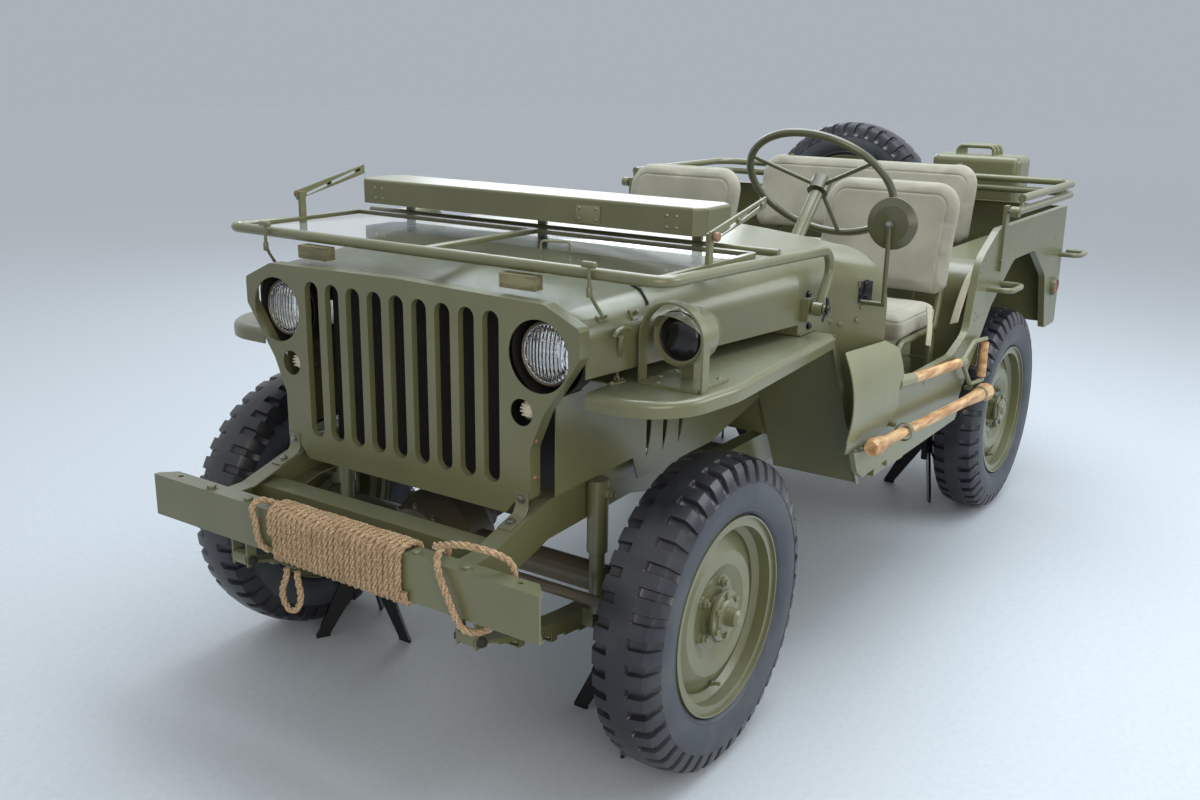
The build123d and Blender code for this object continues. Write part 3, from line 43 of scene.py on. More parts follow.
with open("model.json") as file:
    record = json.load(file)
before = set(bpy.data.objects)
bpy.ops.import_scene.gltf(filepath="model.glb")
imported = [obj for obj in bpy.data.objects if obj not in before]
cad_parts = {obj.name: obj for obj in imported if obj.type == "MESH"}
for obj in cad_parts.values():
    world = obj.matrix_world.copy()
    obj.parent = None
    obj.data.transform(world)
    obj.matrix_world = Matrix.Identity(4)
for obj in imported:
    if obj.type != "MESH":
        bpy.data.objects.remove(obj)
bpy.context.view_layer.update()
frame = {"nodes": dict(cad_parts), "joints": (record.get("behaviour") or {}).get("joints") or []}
NODES = frame["nodes"]
JOINTS = {joint["name"]: joint for joint in frame["joints"]}
ROOT = "chassis_and_body"

# Places read from the frame: the axles, the wheels' centres, a tyre's radius and the bumper's box.
FRONT_X, _, AXLE_Z = JOINTS["left_steer"]["pos_m"]
REAR_X, WHEEL_Y, _ = JOINTS["rear_left_wheel_spin"]["pos_m"]
TYRE_LOW, TYRE_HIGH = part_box("rear_left_tyre")
TYRE_RADIUS = (TYRE_HIGH.z - TYRE_LOW.z) / 2
BUMPER_LOW, BUMPER_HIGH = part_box("front_bumper")

# How far the springs and the outer faces of the body sides are from the car's middle.
SPRING_Y = 0.345
BODY_SIDE_Y = 0.705
# How far the rear axle is ahead of the front one, as at() takes it: less than nothing.
REAR_AHEAD = REAR_X - FRONT_X

ORIGIN = (0, 0, 0)
FORWARD = (1, 0, 0)
BACK = (-1, 0, 0)
UP = (0, 0, 1)
SIDES = ((1, "left"), (-1, "right"))


def at(ahead, left, high):
    """A point measured from the floor under the middle of the front axle."""
    return Vector((FRONT_X + ahead, left, high))


def linear(red, green, blue):
    """A colour written in display values of 0 to 255, as the renderer's own values."""
    def channel(value):
        share = value / 255
        return share / 12.92 if share <= 0.04045 else ((share + 0.055) / 1.055) ** 2.4
    return (channel(red), channel(green), channel(blue))


# Shader building


class Value:
    """One output of a material's nodes, with arithmetic that adds Math nodes."""

    def __init__(self, finish, socket):
        self.finish = finish
        self.socket = socket

    def combine(self, operation, first, second):
        return self.finish.add("ShaderNodeMath", {0: first, 1: second}, operation=operation)

    def __add__(self, other):
        return self.combine("ADD", self, other)

    def __sub__(self, other):
        return self.combine("SUBTRACT", self, other)

    def __rsub__(self, other):
        return self.combine("SUBTRACT", other, self)

    def __mul__(self, other):
        return self.combine("MULTIPLY", self, other)

    __radd__ = __add__
    __rmul__ = __mul__

    def limited(self, low=0.0, high=1.0):
        return self.finish.add("ShaderNodeClamp", {"Value": self, "Min": low, "Max": high})

    def between(self, low, high):
        """This value's stretch from low to high, mapped smoothly onto 0 to 1."""
        inputs = {"Value": self, "From Min": low, "From Max": high}
        return self.finish.add("ShaderNodeMapRange", inputs, interpolation_type="SMOOTHSTEP")


class Finish:
    """A material that is being built: its nodes, its main shader and the place it reads."""

    def __init__(self, name):
        self.material = bpy.data.materials.new(name)
        self.material.use_nodes = True
        self.tree = self.material.node_tree
        self.shader = self.tree.nodes["Principled BSDF"]
        self.place = self.add("ShaderNodeTexCoord", out="Object")

    def add(self, kind, inputs=None, out=0, **settings):
        """Adds one node with its settings and its inputs, and returns one of its outputs."""
        node = self.tree.nodes.new(kind)
        for key, value in settings.items():
            setattr(node, key, value)
        for key, value in (inputs or {}).items():
            self.feed(node.inputs[key], value)
        return Value(self, node.outputs[out])

    def feed(self, socket, value):
        if isinstance(value, Value):
            self.tree.links.new(value.socket, socket)
        elif socket.type == "RGBA" and len(value) == 3:
            socket.default_value = (*value, 1)
        else:
            socket.default_value = value

    def noise(self, scale, detail=4.0, place=None):
        inputs = {"Vector": place or self.place, "Scale": scale, "Detail": detail, "Roughness": 0.55}
        return self.add("ShaderNodeTexNoise", inputs)

    def waves(self, scale, direction, **inputs):
        """Even bands, one after another along a direction."""
        inputs = {"Vector": self.place, "Scale": scale, **inputs}
        return self.add("ShaderNodeTexWave", inputs, wave_type="BANDS", bands_direction=direction)

    def stretched(self, x, y, z):
        """The place this finish reads, scaled along each axis."""
        return self.add("ShaderNodeMapping", {"Vector": self.place, "Scale": (x, y, z)})

    def blend(self, share, first, second):
        """A colour that goes from first to second as share goes from 0 to 1."""
        return self.add("ShaderNodeMix", {0: share, 6: first, 7: second}, out=2, data_type="RGBA")

    def bump(self, height, distance, strength):
        return self.add("ShaderNodeBump", {"Height": height, "Distance": distance, "Strength": strength})

    def set(self, **inputs):
        """Feeds the main shader's sockets, named with underscores for spaces."""
        for name, value in inputs.items():
            self.feed(self.shader.inputs[name.replace("_", " ")], value)
        return self.material


def dimmed(colour, share):
    return tuple(share * c for c in colour)


def olive_paint(name, colour, roughness):
    """Satin olive drab: slight mottling, orange peel, and top faces paled by dust and by a painted reflection
    of the sky.
    """
    paint = Finish(name)
    cloud = paint.noise(3.1, detail=3)
    fine = paint.noise(38, detail=5)
    peel = paint.noise(420, detail=1)
    normal = paint.add("ShaderNodeNewGeometry", out="Normal")
    upward = paint.add("ShaderNodeSeparateXYZ", {0: normal}, out="Z")
    # dust: how far upward faces go toward a pale bluish grey, partly real dust and partly a painted highlight
    # that stands in for the bright sky's reflection.
    dust = upward.between(0.45, 1.0) * (0.25 + 0.5 * fine)
    pale = tuple(0.8 * c + grey for c, grey in zip(colour, (0.072, 0.084, 0.090)))
    base = paint.blend(cloud.between(0.35, 0.65), dimmed(colour, 0.84), colour)
    base = paint.blend((dust * 0.6).limited(), base, pale)
    paint.set(Coat_Weight=0.35, Coat_Roughness=0.2)
    return paint.set(
        Base_Color=base,
        Roughness=(roughness + 0.14 * (fine - 0.5) + 0.08 * dust).limited(0.1, 0.9),
        Normal=paint.bump(0.65 * peel + 0.35 * fine, 0.00025, 0.5),
    )


def rubber(name, colour, roughness, dust=0.02):
    """Tyre rubber: faint grain, dusty grey in places."""
    skin = Finish(name)
    grime = skin.noise(9, detail=5)
    grain = skin.noise(260, detail=2)
    grey = tuple(c + dust for c in colour)
    return skin.set(
        Base_Color=skin.blend(grime.between(0.42, 0.62), colour, grey),
        Roughness=(roughness + 0.22 * (grime - 0.5)).limited(0.2, 0.9),
        Normal=skin.bump(grain, 0.0004, 0.4),
    )


def canvas(name, colour):
    """Plain-woven cotton duck with slubs and faint stains."""
    cloth = Finish(name)
    warp = cloth.waves(210.0, "Y", Distortion=0.6, Detail=1.0)
    weft = cloth.waves(210.0, "DIAGONAL", Distortion=0.6, Detail=1.0)
    stain = cloth.noise(4.5, detail=4)
    slub = cloth.noise(150, detail=3)
    cloth.set(Sheen_Weight=0.25, Sheen_Roughness=0.5)
    return cloth.set(
        Base_Color=cloth.blend(stain.between(0.3, 0.7), dimmed(colour, 0.72), colour),
        Roughness=0.85 + 0.1 * (slub - 0.5),
        Normal=cloth.bump(0.5 * warp + 0.5 * weft + 0.8 * slub, 0.0006, 0.55),
    )


# How fine the grain of a plain finish is, as a noise scale.
PLAIN_GRAIN = 160


def plain(name, colour, roughness, metallic=0.0, grain=0.0003, variation=0.12):
    """A simple finish with slight variation: bare steel, castings, gloss paint or plastic."""
    skin = Finish(name)
    cloud = skin.noise(PLAIN_GRAIN / 12, detail=4)
    fine = skin.noise(PLAIN_GRAIN, detail=3)
    dark = dimmed(colour, 1 - 2 * variation)
    skin.set(Metallic=metallic)
    return skin.set(
        Base_Color=skin.blend(cloud.between(0.3, 0.7), dark, colour),
        Roughness=(roughness + 0.2 * (cloud - 0.5)).limited(0.05, 0.95),
        Normal=skin.bump(fine, grain, 0.4),
    )


def wood(name, pale, dark, stretch):
    """Oiled or weathered wood: long streaks along the piece, with darker grime."""
    timber = Finish(name)
    along = timber.stretched(*stretch)
    streak = timber.noise(60, detail=6, place=along)
    ring = timber.noise(14, detail=3, place=along)
    grime = timber.noise(7, detail=3)
    base = timber.blend(streak.between(0.35, 0.68), pale, dark)
    base = timber.blend((0.6 * ring.between(0.5, 0.75)).limited(), base, dark)
    base = timber.blend((0.5 * grime.between(0.55, 0.75)).limited(), base, dimmed(dark, 0.4))
    return timber.set(
        Base_Color=base,
        Roughness=0.5 + 0.2 * (streak - 0.5),
        Normal=timber.bump(streak, 0.0005, 0.4),
    )


def rope_fibre(name, pale, dark):
    """Laid natural fibre: bright yarns and darker valleys between them, a painted highlight on the raised
    yarns and a painted shade in the valleys.
    """
    fibre = Finish(name)
    yarn = fibre.noise(420, detail=3)
    tone = fibre.noise(24, detail=3)
    # The noise that raises the yarns in the bump also lays the pale colour on them as a painted highlight and
    # the dark colour in the valleys as painted shade.
    base = fibre.blend(yarn.between(0.35, 0.65), dark, pale)
    base = fibre.blend((0.35 * tone.between(0.5, 0.7)).limited(), base, dark)
    return fibre.set(
        Base_Color=base,
        Roughness=0.9,
        Normal=fibre.bump(yarn, 0.0012, 0.7),
    )


def fluted_glass(name):
    """Lamp glass with moulded upright flutes and a few level steps."""
    pane = Finish(name)
    flutes = pane.waves(34.0, "Y")
    steps = pane.waves(12.0, "Z")
    pane.set(Transmission_Weight=1.0, IOR=1.45, Base_Color=(0.97, 0.98, 1.0), Roughness=0.03)
    return pane.set(Normal=pane.bump(flutes + 0.5 * steps, 0.004, 0.8))


def finned_core(name, colour):
    """A radiator's core: close level fins between upright water tubes."""
    core = Finish(name)
    fins = core.waves(160.0, "Z")
    tubes = core.waves(28.0, "Y")
    shade = (0.5 * fins + 0.5 * tubes).limited()
    return core.set(
        Base_Color=core.blend(shade, dimmed(colour, 0.35), colour),
        Roughness=0.6 + 0.1 * shade,
        Normal=core.bump(fins + tubes, 0.003, 0.8),
    )


def clear_glass(name, tint):
    """Flat or moulded glass with a faint film of dust."""
    pane = Finish(name)
    film = pane.noise(16, detail=4)
    pane.set(Transmission_Weight=1.0, IOR=1.45)
    return pane.set(Base_Color=tint, Roughness=0.02 + 0.05 * film.between(0.5, 0.8))


FINISHES = {}


def finish_of(name):
    """The finish with this name, made when it is first asked for."""
    if name not in FINISHES:
        colours = bpy.context.scene.car_paint
        olive = tuple(colours.olive)
        shades = {
            "olive": lambda: olive_paint("olive_paint", olive, colours.satin),
            # shade_olive: the olive paint darkened to 0.55 as painted shade.
            "shade_olive": lambda: olive_paint("dark_paint", dimmed(olive, 0.55), 0.3),
            "rubber": lambda: rubber("tyre_tread_rubber", tuple(colours.rubber), 0.34, 0.012),
            "tyre_wall": lambda: rubber("tyre_wall_rubber", tuple(colours.tyre_wall), 0.5),
            "core": lambda: finned_core("radiator_core", linear(30, 27, 25)),
            "fluted": lambda: fluted_glass("headlamp_glass"),
            "opal": lambda: plain("marker_glass", linear(214, 205, 182), 0.3, variation=0.08),
            "copper": lambda: plain("copper_rivets", linear(146, 108, 88), 0.4, metallic=0.3),
            "brown": lambda: olive_paint("brown_olive", tuple(colours.brown), 0.5),
            "canvas": lambda: canvas("khaki_canvas", tuple(colours.canvas)),
            "steel": lambda: plain("bare_steel", linear(150, 150, 142), 0.35, metallic=0.9),
            "iron": lambda: plain("oily_castings", linear(52, 50, 42), 0.55, metallic=0.3, variation=0.25),
            "black": lambda: plain("gloss_black", linear(14, 14, 15), 0.16, grain=0.0001),
            "dark": lambda: plain("dark_core", linear(26, 24, 22), 0.7, variation=0.3),
            "tool": lambda: olive_paint("tool_paint", tuple(1.25 * c + 0.012 for c in olive), 0.5),
            "ash": lambda: wood("ash_handles", linear(206, 172, 126), linear(146, 104, 62), (0.12, 1, 1)),
            "block": lambda: wood("block_wood", linear(128, 124, 92), linear(88, 84, 58), (1, 0.15, 1)),
            # The rope's pale and dark colours are its lit and shaded tones: a painted highlight and a painted
            # shade.
            "rope": lambda: rope_fibre("manila_fibre", linear(200, 174, 140), linear(122, 98, 70)),
            "glass": lambda: clear_glass("window_glass", (0.93, 0.96, 0.95)),
            "lens": lambda: clear_glass("lamp_glass", (0.97, 0.98, 1.0)),
            "mirror": lambda: plain(
                "lamp_reflector", linear(235, 235, 232), 0.08, metallic=1.0, variation=0.02,
            ),
            "red": lambda: plain("red_lens", linear(150, 16, 14), 0.2, variation=0.1),
            "webbing": lambda: canvas("pale_webbing", linear(186, 180, 150)),
        }
        FINISHES[name] = shades[name]()
    return FINISHES[name]


# Piece building


def deselect():
    """Leaves edit mode and clears the selection."""
    if bpy.context.object and bpy.context.object.mode != "OBJECT":
        bpy.ops.object.mode_set(mode="OBJECT")
    bpy.ops.object.select_all(action="DESELECT")


def pick(piece):
    """Selects one object alone and makes it active."""
    deselect()
    piece.select_set(True)
    bpy.context.view_layer.objects.active = piece


def settle(piece):
    """Writes a piece's place into its mesh, so that its object stands at the origin."""
    pick(piece)
    bpy.ops.object.transform_apply(location=True, rotation=True, scale=True)


def modify(piece, kind, **settings):
    """Adds a modifier and applies it."""
    pick(piece)
    modifier = piece.modifiers.new(kind.title(), kind)
    for key, value in settings.items():
        setattr(modifier, key, value)
    bpy.ops.object.modifier_apply(modifier=modifier.name)


def rounded(piece, width, segments=2, angle=35):
    """Rounds the sharp edges of a piece."""
    modify(
        piece, "BEVEL", width=width, segments=segments, limit_method="ANGLE", angle_limit=math.radians(angle),
        use_clamp_overlap=True,
    )


def smooth(piece, angle):
    pick(piece)
    bpy.ops.object.shade_smooth_by_angle(angle=math.radians(angle))


def bar(low, high, edge=0.0015):
    """A rectangular bar between two corners, its edges rounded."""
    low, high = Vector(low), Vector(high)
    deselect()
    bpy.ops.mesh.primitive_cube_add(size=1, location=(low + high) / 2, scale=high - low)
    piece = bpy.context.object
    settle(piece)
    if edge:
        rounded(piece, edge)
    return piece


def rod(start, end, radius, sides=24, edge=0.0):
    """A round bar from one point to another."""
    start, end = Vector(start), Vector(end)
    deselect()
    bpy.ops.mesh.primitive_cylinder_add(
        vertices=sides, radius=radius, depth=(end - start).length, location=(start + end) / 2,
        rotation=(end - start).to_track_quat("Z", "Y").to_euler(),
    )
    piece = bpy.context.object
    settle(piece)
    if edge:
        rounded(piece, edge)
    return piece


def linked(name, data):
    """A new object of the scene that holds the given data."""
    piece = bpy.data.objects.new(name, data)
    bpy.context.scene.collection.objects.link(piece)
    return piece


def made(name, points, faces, edges=()):
    """A mesh piece from its points and faces."""
    mesh = bpy.data.meshes.new(name)
    mesh.from_pydata(points, edges, faces)
    return linked(name, mesh)


def cleaned(piece, gap=1e-6):
    """Merges a mesh piece's doubled points and turns its faces outward."""
    pick(piece)
    bpy.ops.object.mode_set(mode="EDIT")
    bpy.ops.mesh.select_all(action="SELECT")
    bpy.ops.mesh.remove_doubles(threshold=gap)
    bpy.ops.mesh.normals_make_consistent(inside=False)
    bpy.ops.object.mode_set(mode="OBJECT")
    return piece


def meshed(curve):
    """Turns a curve object into a clean mesh piece."""
    pick(curve)
    bpy.ops.object.convert(target="MESH")
    return cleaned(bpy.context.object)


def facing(place, direction):
    """The matrix that stands a piece, made upright at the origin, at a place facing a direction."""
    return Matrix.Translation(place) @ Vector(direction).to_track_quat("Z", "Y").to_matrix().to_4x4()


def turned(profile, origin, axis, steps=48):
    """A profile of (along, out) points spun about an axis."""
    edges = [(i, i + 1) for i in range(len(profile) - 1)]
    piece = made("turned", [(out, 0, along) for along, out in profile], [], edges)
    pick(piece)
    bpy.ops.object.mode_set(mode="EDIT")
    bpy.ops.mesh.select_all(action="SELECT")
    bpy.ops.mesh.spin(steps=steps, angle=math.tau, center=ORIGIN, axis=UP)
    cleaned(piece)
    piece.data.transform(facing(origin, axis))
    return piece


def dome(base, height, radius, steps=8):
    """A profile for turned: from the top of a dome that stands on base, down to its rim."""
    quarter = [math.pi / 2 * i / steps for i in range(steps + 1)]
    return [(base + height * math.cos(a), radius * math.sin(a)) for a in quarter]


def tube(points, radius, bends=0.02):
    """A round tube along points, with rounded corners of about the given radius."""
    route = [Vector(p) for p in points]
    data = bpy.data.curves.new("tube", "CURVE")
    data.dimensions = "3D"
    data.bevel_depth = radius
    data.bevel_resolution = 3
    data.resolution_u = 8
    data.use_fill_caps = True
    knots = [(route[0], route[0], route[0])]
    for before, point, after in zip(route, route[1:], route[2:]):
        inward, outward = before - point, after - point
        cut = min(bends, 0.45 * inward.length, 0.45 * outward.length)
        first, last = point + cut * inward.normalized(), point + cut * outward.normalized()
        knots.append((first, first, first + 0.55 * (point - first)))
        knots.append((last, last + 0.55 * (point - last), last))
    knots.append((route[-1], route[-1], route[-1]))
    spline = data.splines.new("BEZIER")
    spline.bezier_points.add(len(knots) - 1)
    for knot, (place, left, right) in zip(spline.bezier_points, knots):
        knot.co, knot.handle_left, knot.handle_right = place, left, right
    return meshed(linked("tube", data))


def plate(outline, thickness, origin, across, up, edge=0.0006):
    """A flat plate from an outline of (across, up) points, as thick on both sides of its plane."""
    data = bpy.data.curves.new("plate", "CURVE")
    data.dimensions = "2D"
    data.fill_mode = "BOTH"
    data.extrude = thickness / 2 - edge
    data.bevel_depth = edge
    data.bevel_resolution = 1
    spline = data.splines.new("POLY")
    spline.use_cyclic_u = True
    spline.points.add(len(outline) - 1)
    for point, (x, y) in zip(spline.points, outline):
        point.co = (x, y, 0, 1)
    piece = meshed(linked("plate", data))
    across, up = Vector(across).normalized(), Vector(up).normalized()
    turn = Matrix((across, up, across.cross(up))).transposed().to_4x4()
    piece.data.transform(Matrix.Translation(origin) @ turn)
    return piece


def spread(master, places):
    """One mesh of copies of a master piece, one at each matrix. The master is removed."""
    whole = bmesh.new()
    for place in places:
        copy = master.data.copy()
        copy.transform(place)
        whole.from_mesh(copy)
        bpy.data.meshes.remove(copy)
    mesh = bpy.data.meshes.new("spread")
    whole.to_mesh(mesh)
    whole.free()
    bpy.data.objects.remove(master)
    return linked("spread", mesh)


def bolt_head(radius, height, washer=0.0):
    """A hexagon head on its washer, upright at the origin."""
    head = rod(ORIGIN, (0, 0, height), radius, sides=6)
    rounded(head, 0.12 * radius)
    if washer:
        base = rod(ORIGIN, (0, 0, 0.2 * height), washer, sides=20)
        return joined([head, base])
    return head


# Hexagon bolts: radius and height of the head, and radius of the washer.
SMALL_BOLT = (0.007, 0.005, 0.010)
BODY_BOLT = (0.008, 0.006, 0.011)


def dome_head(radius, height):
    """A low round rivet head, upright at the origin."""
    arc = [(height * math.sin(a), radius * math.cos(a)) for a in (0, 0.5, 1.0, 1.3)]
    return turned([(-0.001, radius), *arc, (height, 0)], ORIGIN, UP, steps=12)


def bolts(places, direction, radius, height, washer):
    """Hexagon bolts at places, all facing one way."""
    return spread(bolt_head(radius, height, washer), [facing(p, direction) for p in places])


def rivets(places, direction, radius, height):
    """Round rivets at places, all facing one way."""
    return spread(dome_head(radius, height), [facing(p, direction) for p in places])


def joined(parts):
    """Joins pieces into the first of them."""
    pick(parts[0])
    for part in parts[1:]:
        part.select_set(True)
    if len(parts) > 1:
        bpy.ops.object.join()
    return bpy.context.object


def deliver(piece, name, finish, body=ROOT, angle=35):
    """Names a finished piece, gives it its finish and fastens it to its body."""
    piece.name = name
    piece.data.name = name
    piece.data.materials.clear()
    piece.data.materials.append(finish_of(finish))
    smooth(piece, angle)
    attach(piece, body)


def copied(master, place):
    """A copy of a piece, with its own mesh, moved by a matrix."""
    mesh = master.data.copy()
    mesh.transform(place)
    return linked(master.name, mesh)


def stood(piece, place, direction):
    """Moves a piece that was made upright at the origin to a place, facing a direction."""
    piece.data.transform(facing(place, direction))
    return piece


def seated(node, place, direction, sink=0.0004):
    """A place moved back along a direction onto the surface of a CAD piece."""
    direction = Vector(direction).normalized()
    found, spot, _, _ = NODES[node].ray_cast(Vector(place) + 0.08 * direction, -direction)
    if not found:
        raise RuntimeError(f"no surface of {node} at {tuple(place)}")
    return spot - sink * direction


def sleeve(name, corners):
    """A closed skin over rows of four corners each, every row joined to the next."""
    last = len(corners) - 4
    faces = []
    for a in range(0, last, 4):
        faces += [(a + j, a + (j + 1) % 4, a + 4 + (j + 1) % 4, a + 4 + j) for j in range(4)]
    faces += [(3, 2, 1, 0), (last, last + 1, last + 2, last + 3)]
    return made(name, corners, faces)


def strip(points, width, thickness, across, edge=0.0):
    """A flat strap bent along points, its width along one direction."""
    route = [Vector(p) for p in points]
    side = Vector(across).normalized() * width / 2
    corners = []
    for i, place in enumerate(route):
        along = route[min(i + 1, len(route) - 1)] - route[max(i - 1, 0)]
        out = along.cross(side).normalized() * thickness / 2
        corners += [place - side - out, place + side - out, place + side + out, place - side + out]
    piece = sleeve("strip", corners)
    if edge:
        rounded(piece, edge, segments=1)
    return piece


def around(count, radius, along=0.0, start=0.0):
    """Points at even angles round the X axis, at a radius from it."""
    angles = [start + math.tau * i / count for i in range(count)]
    return [Vector((along, radius * math.sin(a), radius * math.cos(a))) for a in angles]


# Sizes and colours


class PaintSettings(bpy.types.PropertyGroup):
    """Colours and gloss of the main finishes."""

    olive: FloatVectorProperty(
        name="Olive drab", description="Paint of the body and chassis", subtype="COLOR",
        default=linear(100, 101, 70), min=0, max=1,
    )
    satin: FloatProperty(
        name="Roughness", description="Roughness of the paint", default=0.34, min=0.05, max=1,
    )
    canvas: FloatVectorProperty(
        name="Canvas", description="Cloth of the seats", subtype="COLOR", default=linear(150, 147, 131),
        min=0, max=1,
    )
    rubber: FloatVectorProperty(
        name="Tread rubber", description="Tread of the tyres", subtype="COLOR", default=linear(30, 31, 37),
        min=0, max=1,
    )
    tyre_wall: FloatVectorProperty(
        name="Tyre wall", description="Sides of the tyres", subtype="COLOR", default=linear(50, 55, 62),
        min=0, max=1,
    )
    brown: FloatVectorProperty(
        name="Brown olive", description="Older paint on axles and small parts", subtype="COLOR",
        default=linear(84, 76, 56), min=0, max=1,
    )


class TyreSettings(bpy.types.PropertyGroup):
    """The bar tread of the tyres."""

    bars: IntProperty(
        name="Bars", description="Tread bars on each side of a tyre", default=42, min=12, max=80,
    )
    groove: FloatProperty(
        name="Groove", description="Width of the grooves between bars", default=0.017, unit="LENGTH",
        min=0.004, max=0.03,
    )
    depth: FloatProperty(
        name="Depth", description="Depth of the tread", default=0.011, unit="LENGTH", min=0.002, max=0.02,
    )


class RopeSettings(bpy.types.PropertyGroup):
    """The tow rope on the bumper."""

    thickness: FloatProperty(
        name="Thickness", description="Diameter of the rope", default=0.016, unit="LENGTH",
        min=0.005, max=0.04,
    )
    lay: FloatProperty(
        name="Lay", description="Length of rope in which a strand goes once round", default=0.052,
        unit="LENGTH", min=0.01, max=0.2,
    )
    turns: IntProperty(name="Turns", description="Turns round the bumper", default=25, min=3, max=60)


class StageSettings(bpy.types.PropertyGroup):
    """Floor and light."""

    floor: FloatVectorProperty(
        name="Floor", description="Colour of the floor", subtype="COLOR", default=linear(184, 191, 197),
        min=0, max=1,
    )
    sky: FloatProperty(
        name="Sky", description="Strength of the even light all round", default=0.8, min=0, max=5,
    )
    key: FloatProperty(name="Key light", description="Power of the main lamp", default=230, min=0, max=5000)
    fill: FloatProperty(name="Fill light", description="Power of the side lamps", default=60, min=0, max=5000)


# The camera as measured: its place from the front axle, the middle and the floor, in metres and degrees.
CAMERA_AHEAD = 2.126
CAMERA_LEFT = 1.7825
CAMERA_HEIGHT = 1.5181
CAMERA_YAW = -145.78
CAMERA_PITCH = -15.81
CAMERA_ROLL = 0.834
CAMERA_LENS = 35.56
SKY_COLOUR = (0.93, 0.96, 1.0)
FLOOR_SHEEN = (1.14, 1.12, 1.09)
COOL = (0.88, 0.95, 1.0)
WARM = (1.0, 0.88, 0.72)


class CAR_OT_stage(bpy.types.Operator):
    """Makes the floor, the lamps and the camera"""

    bl_idname = "car.stage"
    bl_label = "Stage"

    def execute(self, context):
        settings = context.scene.car_stage
        context.scene.view_settings.view_transform = "Standard"
        self.make_camera(context)
        self.make_floor(settings)
        self.make_lamps(settings)
        self.make_sky(context, settings)
        return {"FINISHED"}

    def make_camera(self, context):
        yaw, pitch, roll = (math.radians(a) for a in (CAMERA_YAW, CAMERA_PITCH, CAMERA_ROLL))
        ahead = Vector((math.cos(yaw) * math.cos(pitch), math.sin(yaw) * math.cos(pitch), math.sin(pitch)))
        level_right = Vector((math.sin(yaw), -math.cos(yaw), 0))
        level_up = level_right.cross(ahead)
        right = math.cos(roll) * level_right + math.sin(roll) * level_up
        up = math.cos(roll) * level_up - math.sin(roll) * level_right
        camera = bpy.data.cameras.new("camera")
        camera.sensor_width = 36
        camera.lens = CAMERA_LENS
        turn = Matrix((right, up, -ahead)).transposed().to_4x4()
        place = (FRONT_X + CAMERA_AHEAD, CAMERA_LEFT, CAMERA_HEIGHT)
        context.scene.camera = linked("camera", camera)
        context.scene.camera.matrix_world = Matrix.Translation(place) @ turn

    def make_floor(self, settings):
        deselect()
        bpy.ops.mesh.primitive_plane_add(size=60, location=(0, 0, 0))
        floor = bpy.context.object
        floor.name = "floor"
        ground = Finish("pale_floor")
        speckle = ground.noise(55, detail=4)
        pale = tuple(settings.floor)
        base = ground.blend(speckle.between(0.3, 0.7), dimmed(pale, 0.94), pale)
        ground.set(Base_Color=base, Roughness=0.55)
        floor.data.materials.append(ground.material)

    def make_lamps(self, settings):
        middle = Vector((FRONT_X - 0.6, 0, 0.6))
        lamps = (
            ("roof_lamp", (-0.6, 0.4, 4.2), 4.6, 2.8, settings.key, COOL),
            ("front_lamp", (3.6, 3.4, 1.8), 2.4, 1.8, settings.fill, WARM),
            ("left_lamp", (-1.8, 4.2, 2.4), 3.0, 1.6, settings.fill, COOL),
            ("rear_lamp", (-4.2, -3.4, 3.0), 2.6, 2.0, settings.fill, COOL),
        )
        for name, place, width, height, power, colour in lamps:
            lamp = bpy.data.lights.new(name, "AREA")
            lamp.shape = "RECTANGLE"
            lamp.size = width
            lamp.size_y = height
            lamp.energy = power
            lamp.color = colour
            aim = (middle - Vector(place)).to_track_quat("-Z", "Y").to_matrix().to_4x4()
            linked(name, lamp).matrix_world = Matrix.Translation(place) @ aim

    def make_sky(self, context, settings):
        world = bpy.data.worlds.new("studio")
        world.use_nodes = True
        context.scene.world = world
        tree = world.node_tree
        shine = tree.nodes["Background"]
        shine.inputs["Strength"].default_value = settings.sky
        shine.inputs["Color"].default_value = (*SKY_COLOUR, 1)
        seen = tree.nodes.new("ShaderNodeBackground")
        far_floor = [settings.sky * a * b * c for a, b, c in zip(settings.floor, SKY_COLOUR, FLOOR_SHEEN)]
        seen.inputs["Color"].default_value = (*far_floor, 1)
        rays = tree.nodes.new("ShaderNodeLightPath")
        choice = tree.nodes.new("ShaderNodeMixShader")
        tree.links.new(rays.outputs["Is Camera Ray"], choice.inputs[0])
        tree.links.new(shine.outputs[0], choice.inputs[1])
        tree.links.new(seen.outputs[0], choice.inputs[2])
        tree.links.new(choice.outputs[0], tree.nodes["World Output"].inputs["Surface"])


def route_line(points):
    """Points read along a smooth open line that is steered by the given ones."""
    data = bpy.data.curves.new("route", "CURVE")
    data.dimensions = "3D"
    data.resolution_u = 10
    spline = data.splines.new("NURBS")
    spline.points.add(len(points) - 1)
    for knot, point in zip(spline.points, points):
        knot.co = (*point, 1)
    spline.order_u = 3
    spline.use_endpoint_u = True
    holder = linked("route", data)
    bpy.context.view_layer.update()
    mesh = bpy.data.meshes.new_from_object(holder)
    line = [v.co.copy() for v in mesh.vertices]
    bpy.data.meshes.remove(mesh)
    bpy.data.objects.remove(holder)
    return line


def even_steps(line, step):
    """Points at even steps along a line of close points."""
    spaced, carried = [line[0].copy()], 0.0
    for start, end in zip(line, line[1:]):
        length = (end - start).length
        while length and carried + length >= step:
            share = (step - carried) / length
            start = start.lerp(end, share)
            spaced.append(start.copy())
            length = (end - start).length
            carried = 0.0
        carried += length
    spaced.append(line[-1].copy())
    return spaced


# The rope's make-up: strands, corners of a strand's section and the step between sections, then a
# strand's radius and its distance from the rope's middle as shares of the rope's thickness.
STRANDS = 3
STRAND_CORNERS = 7
ROPE_STEP = 0.0045
STRAND_RADIUS = 0.268
STRAND_OFFSET = 0.232


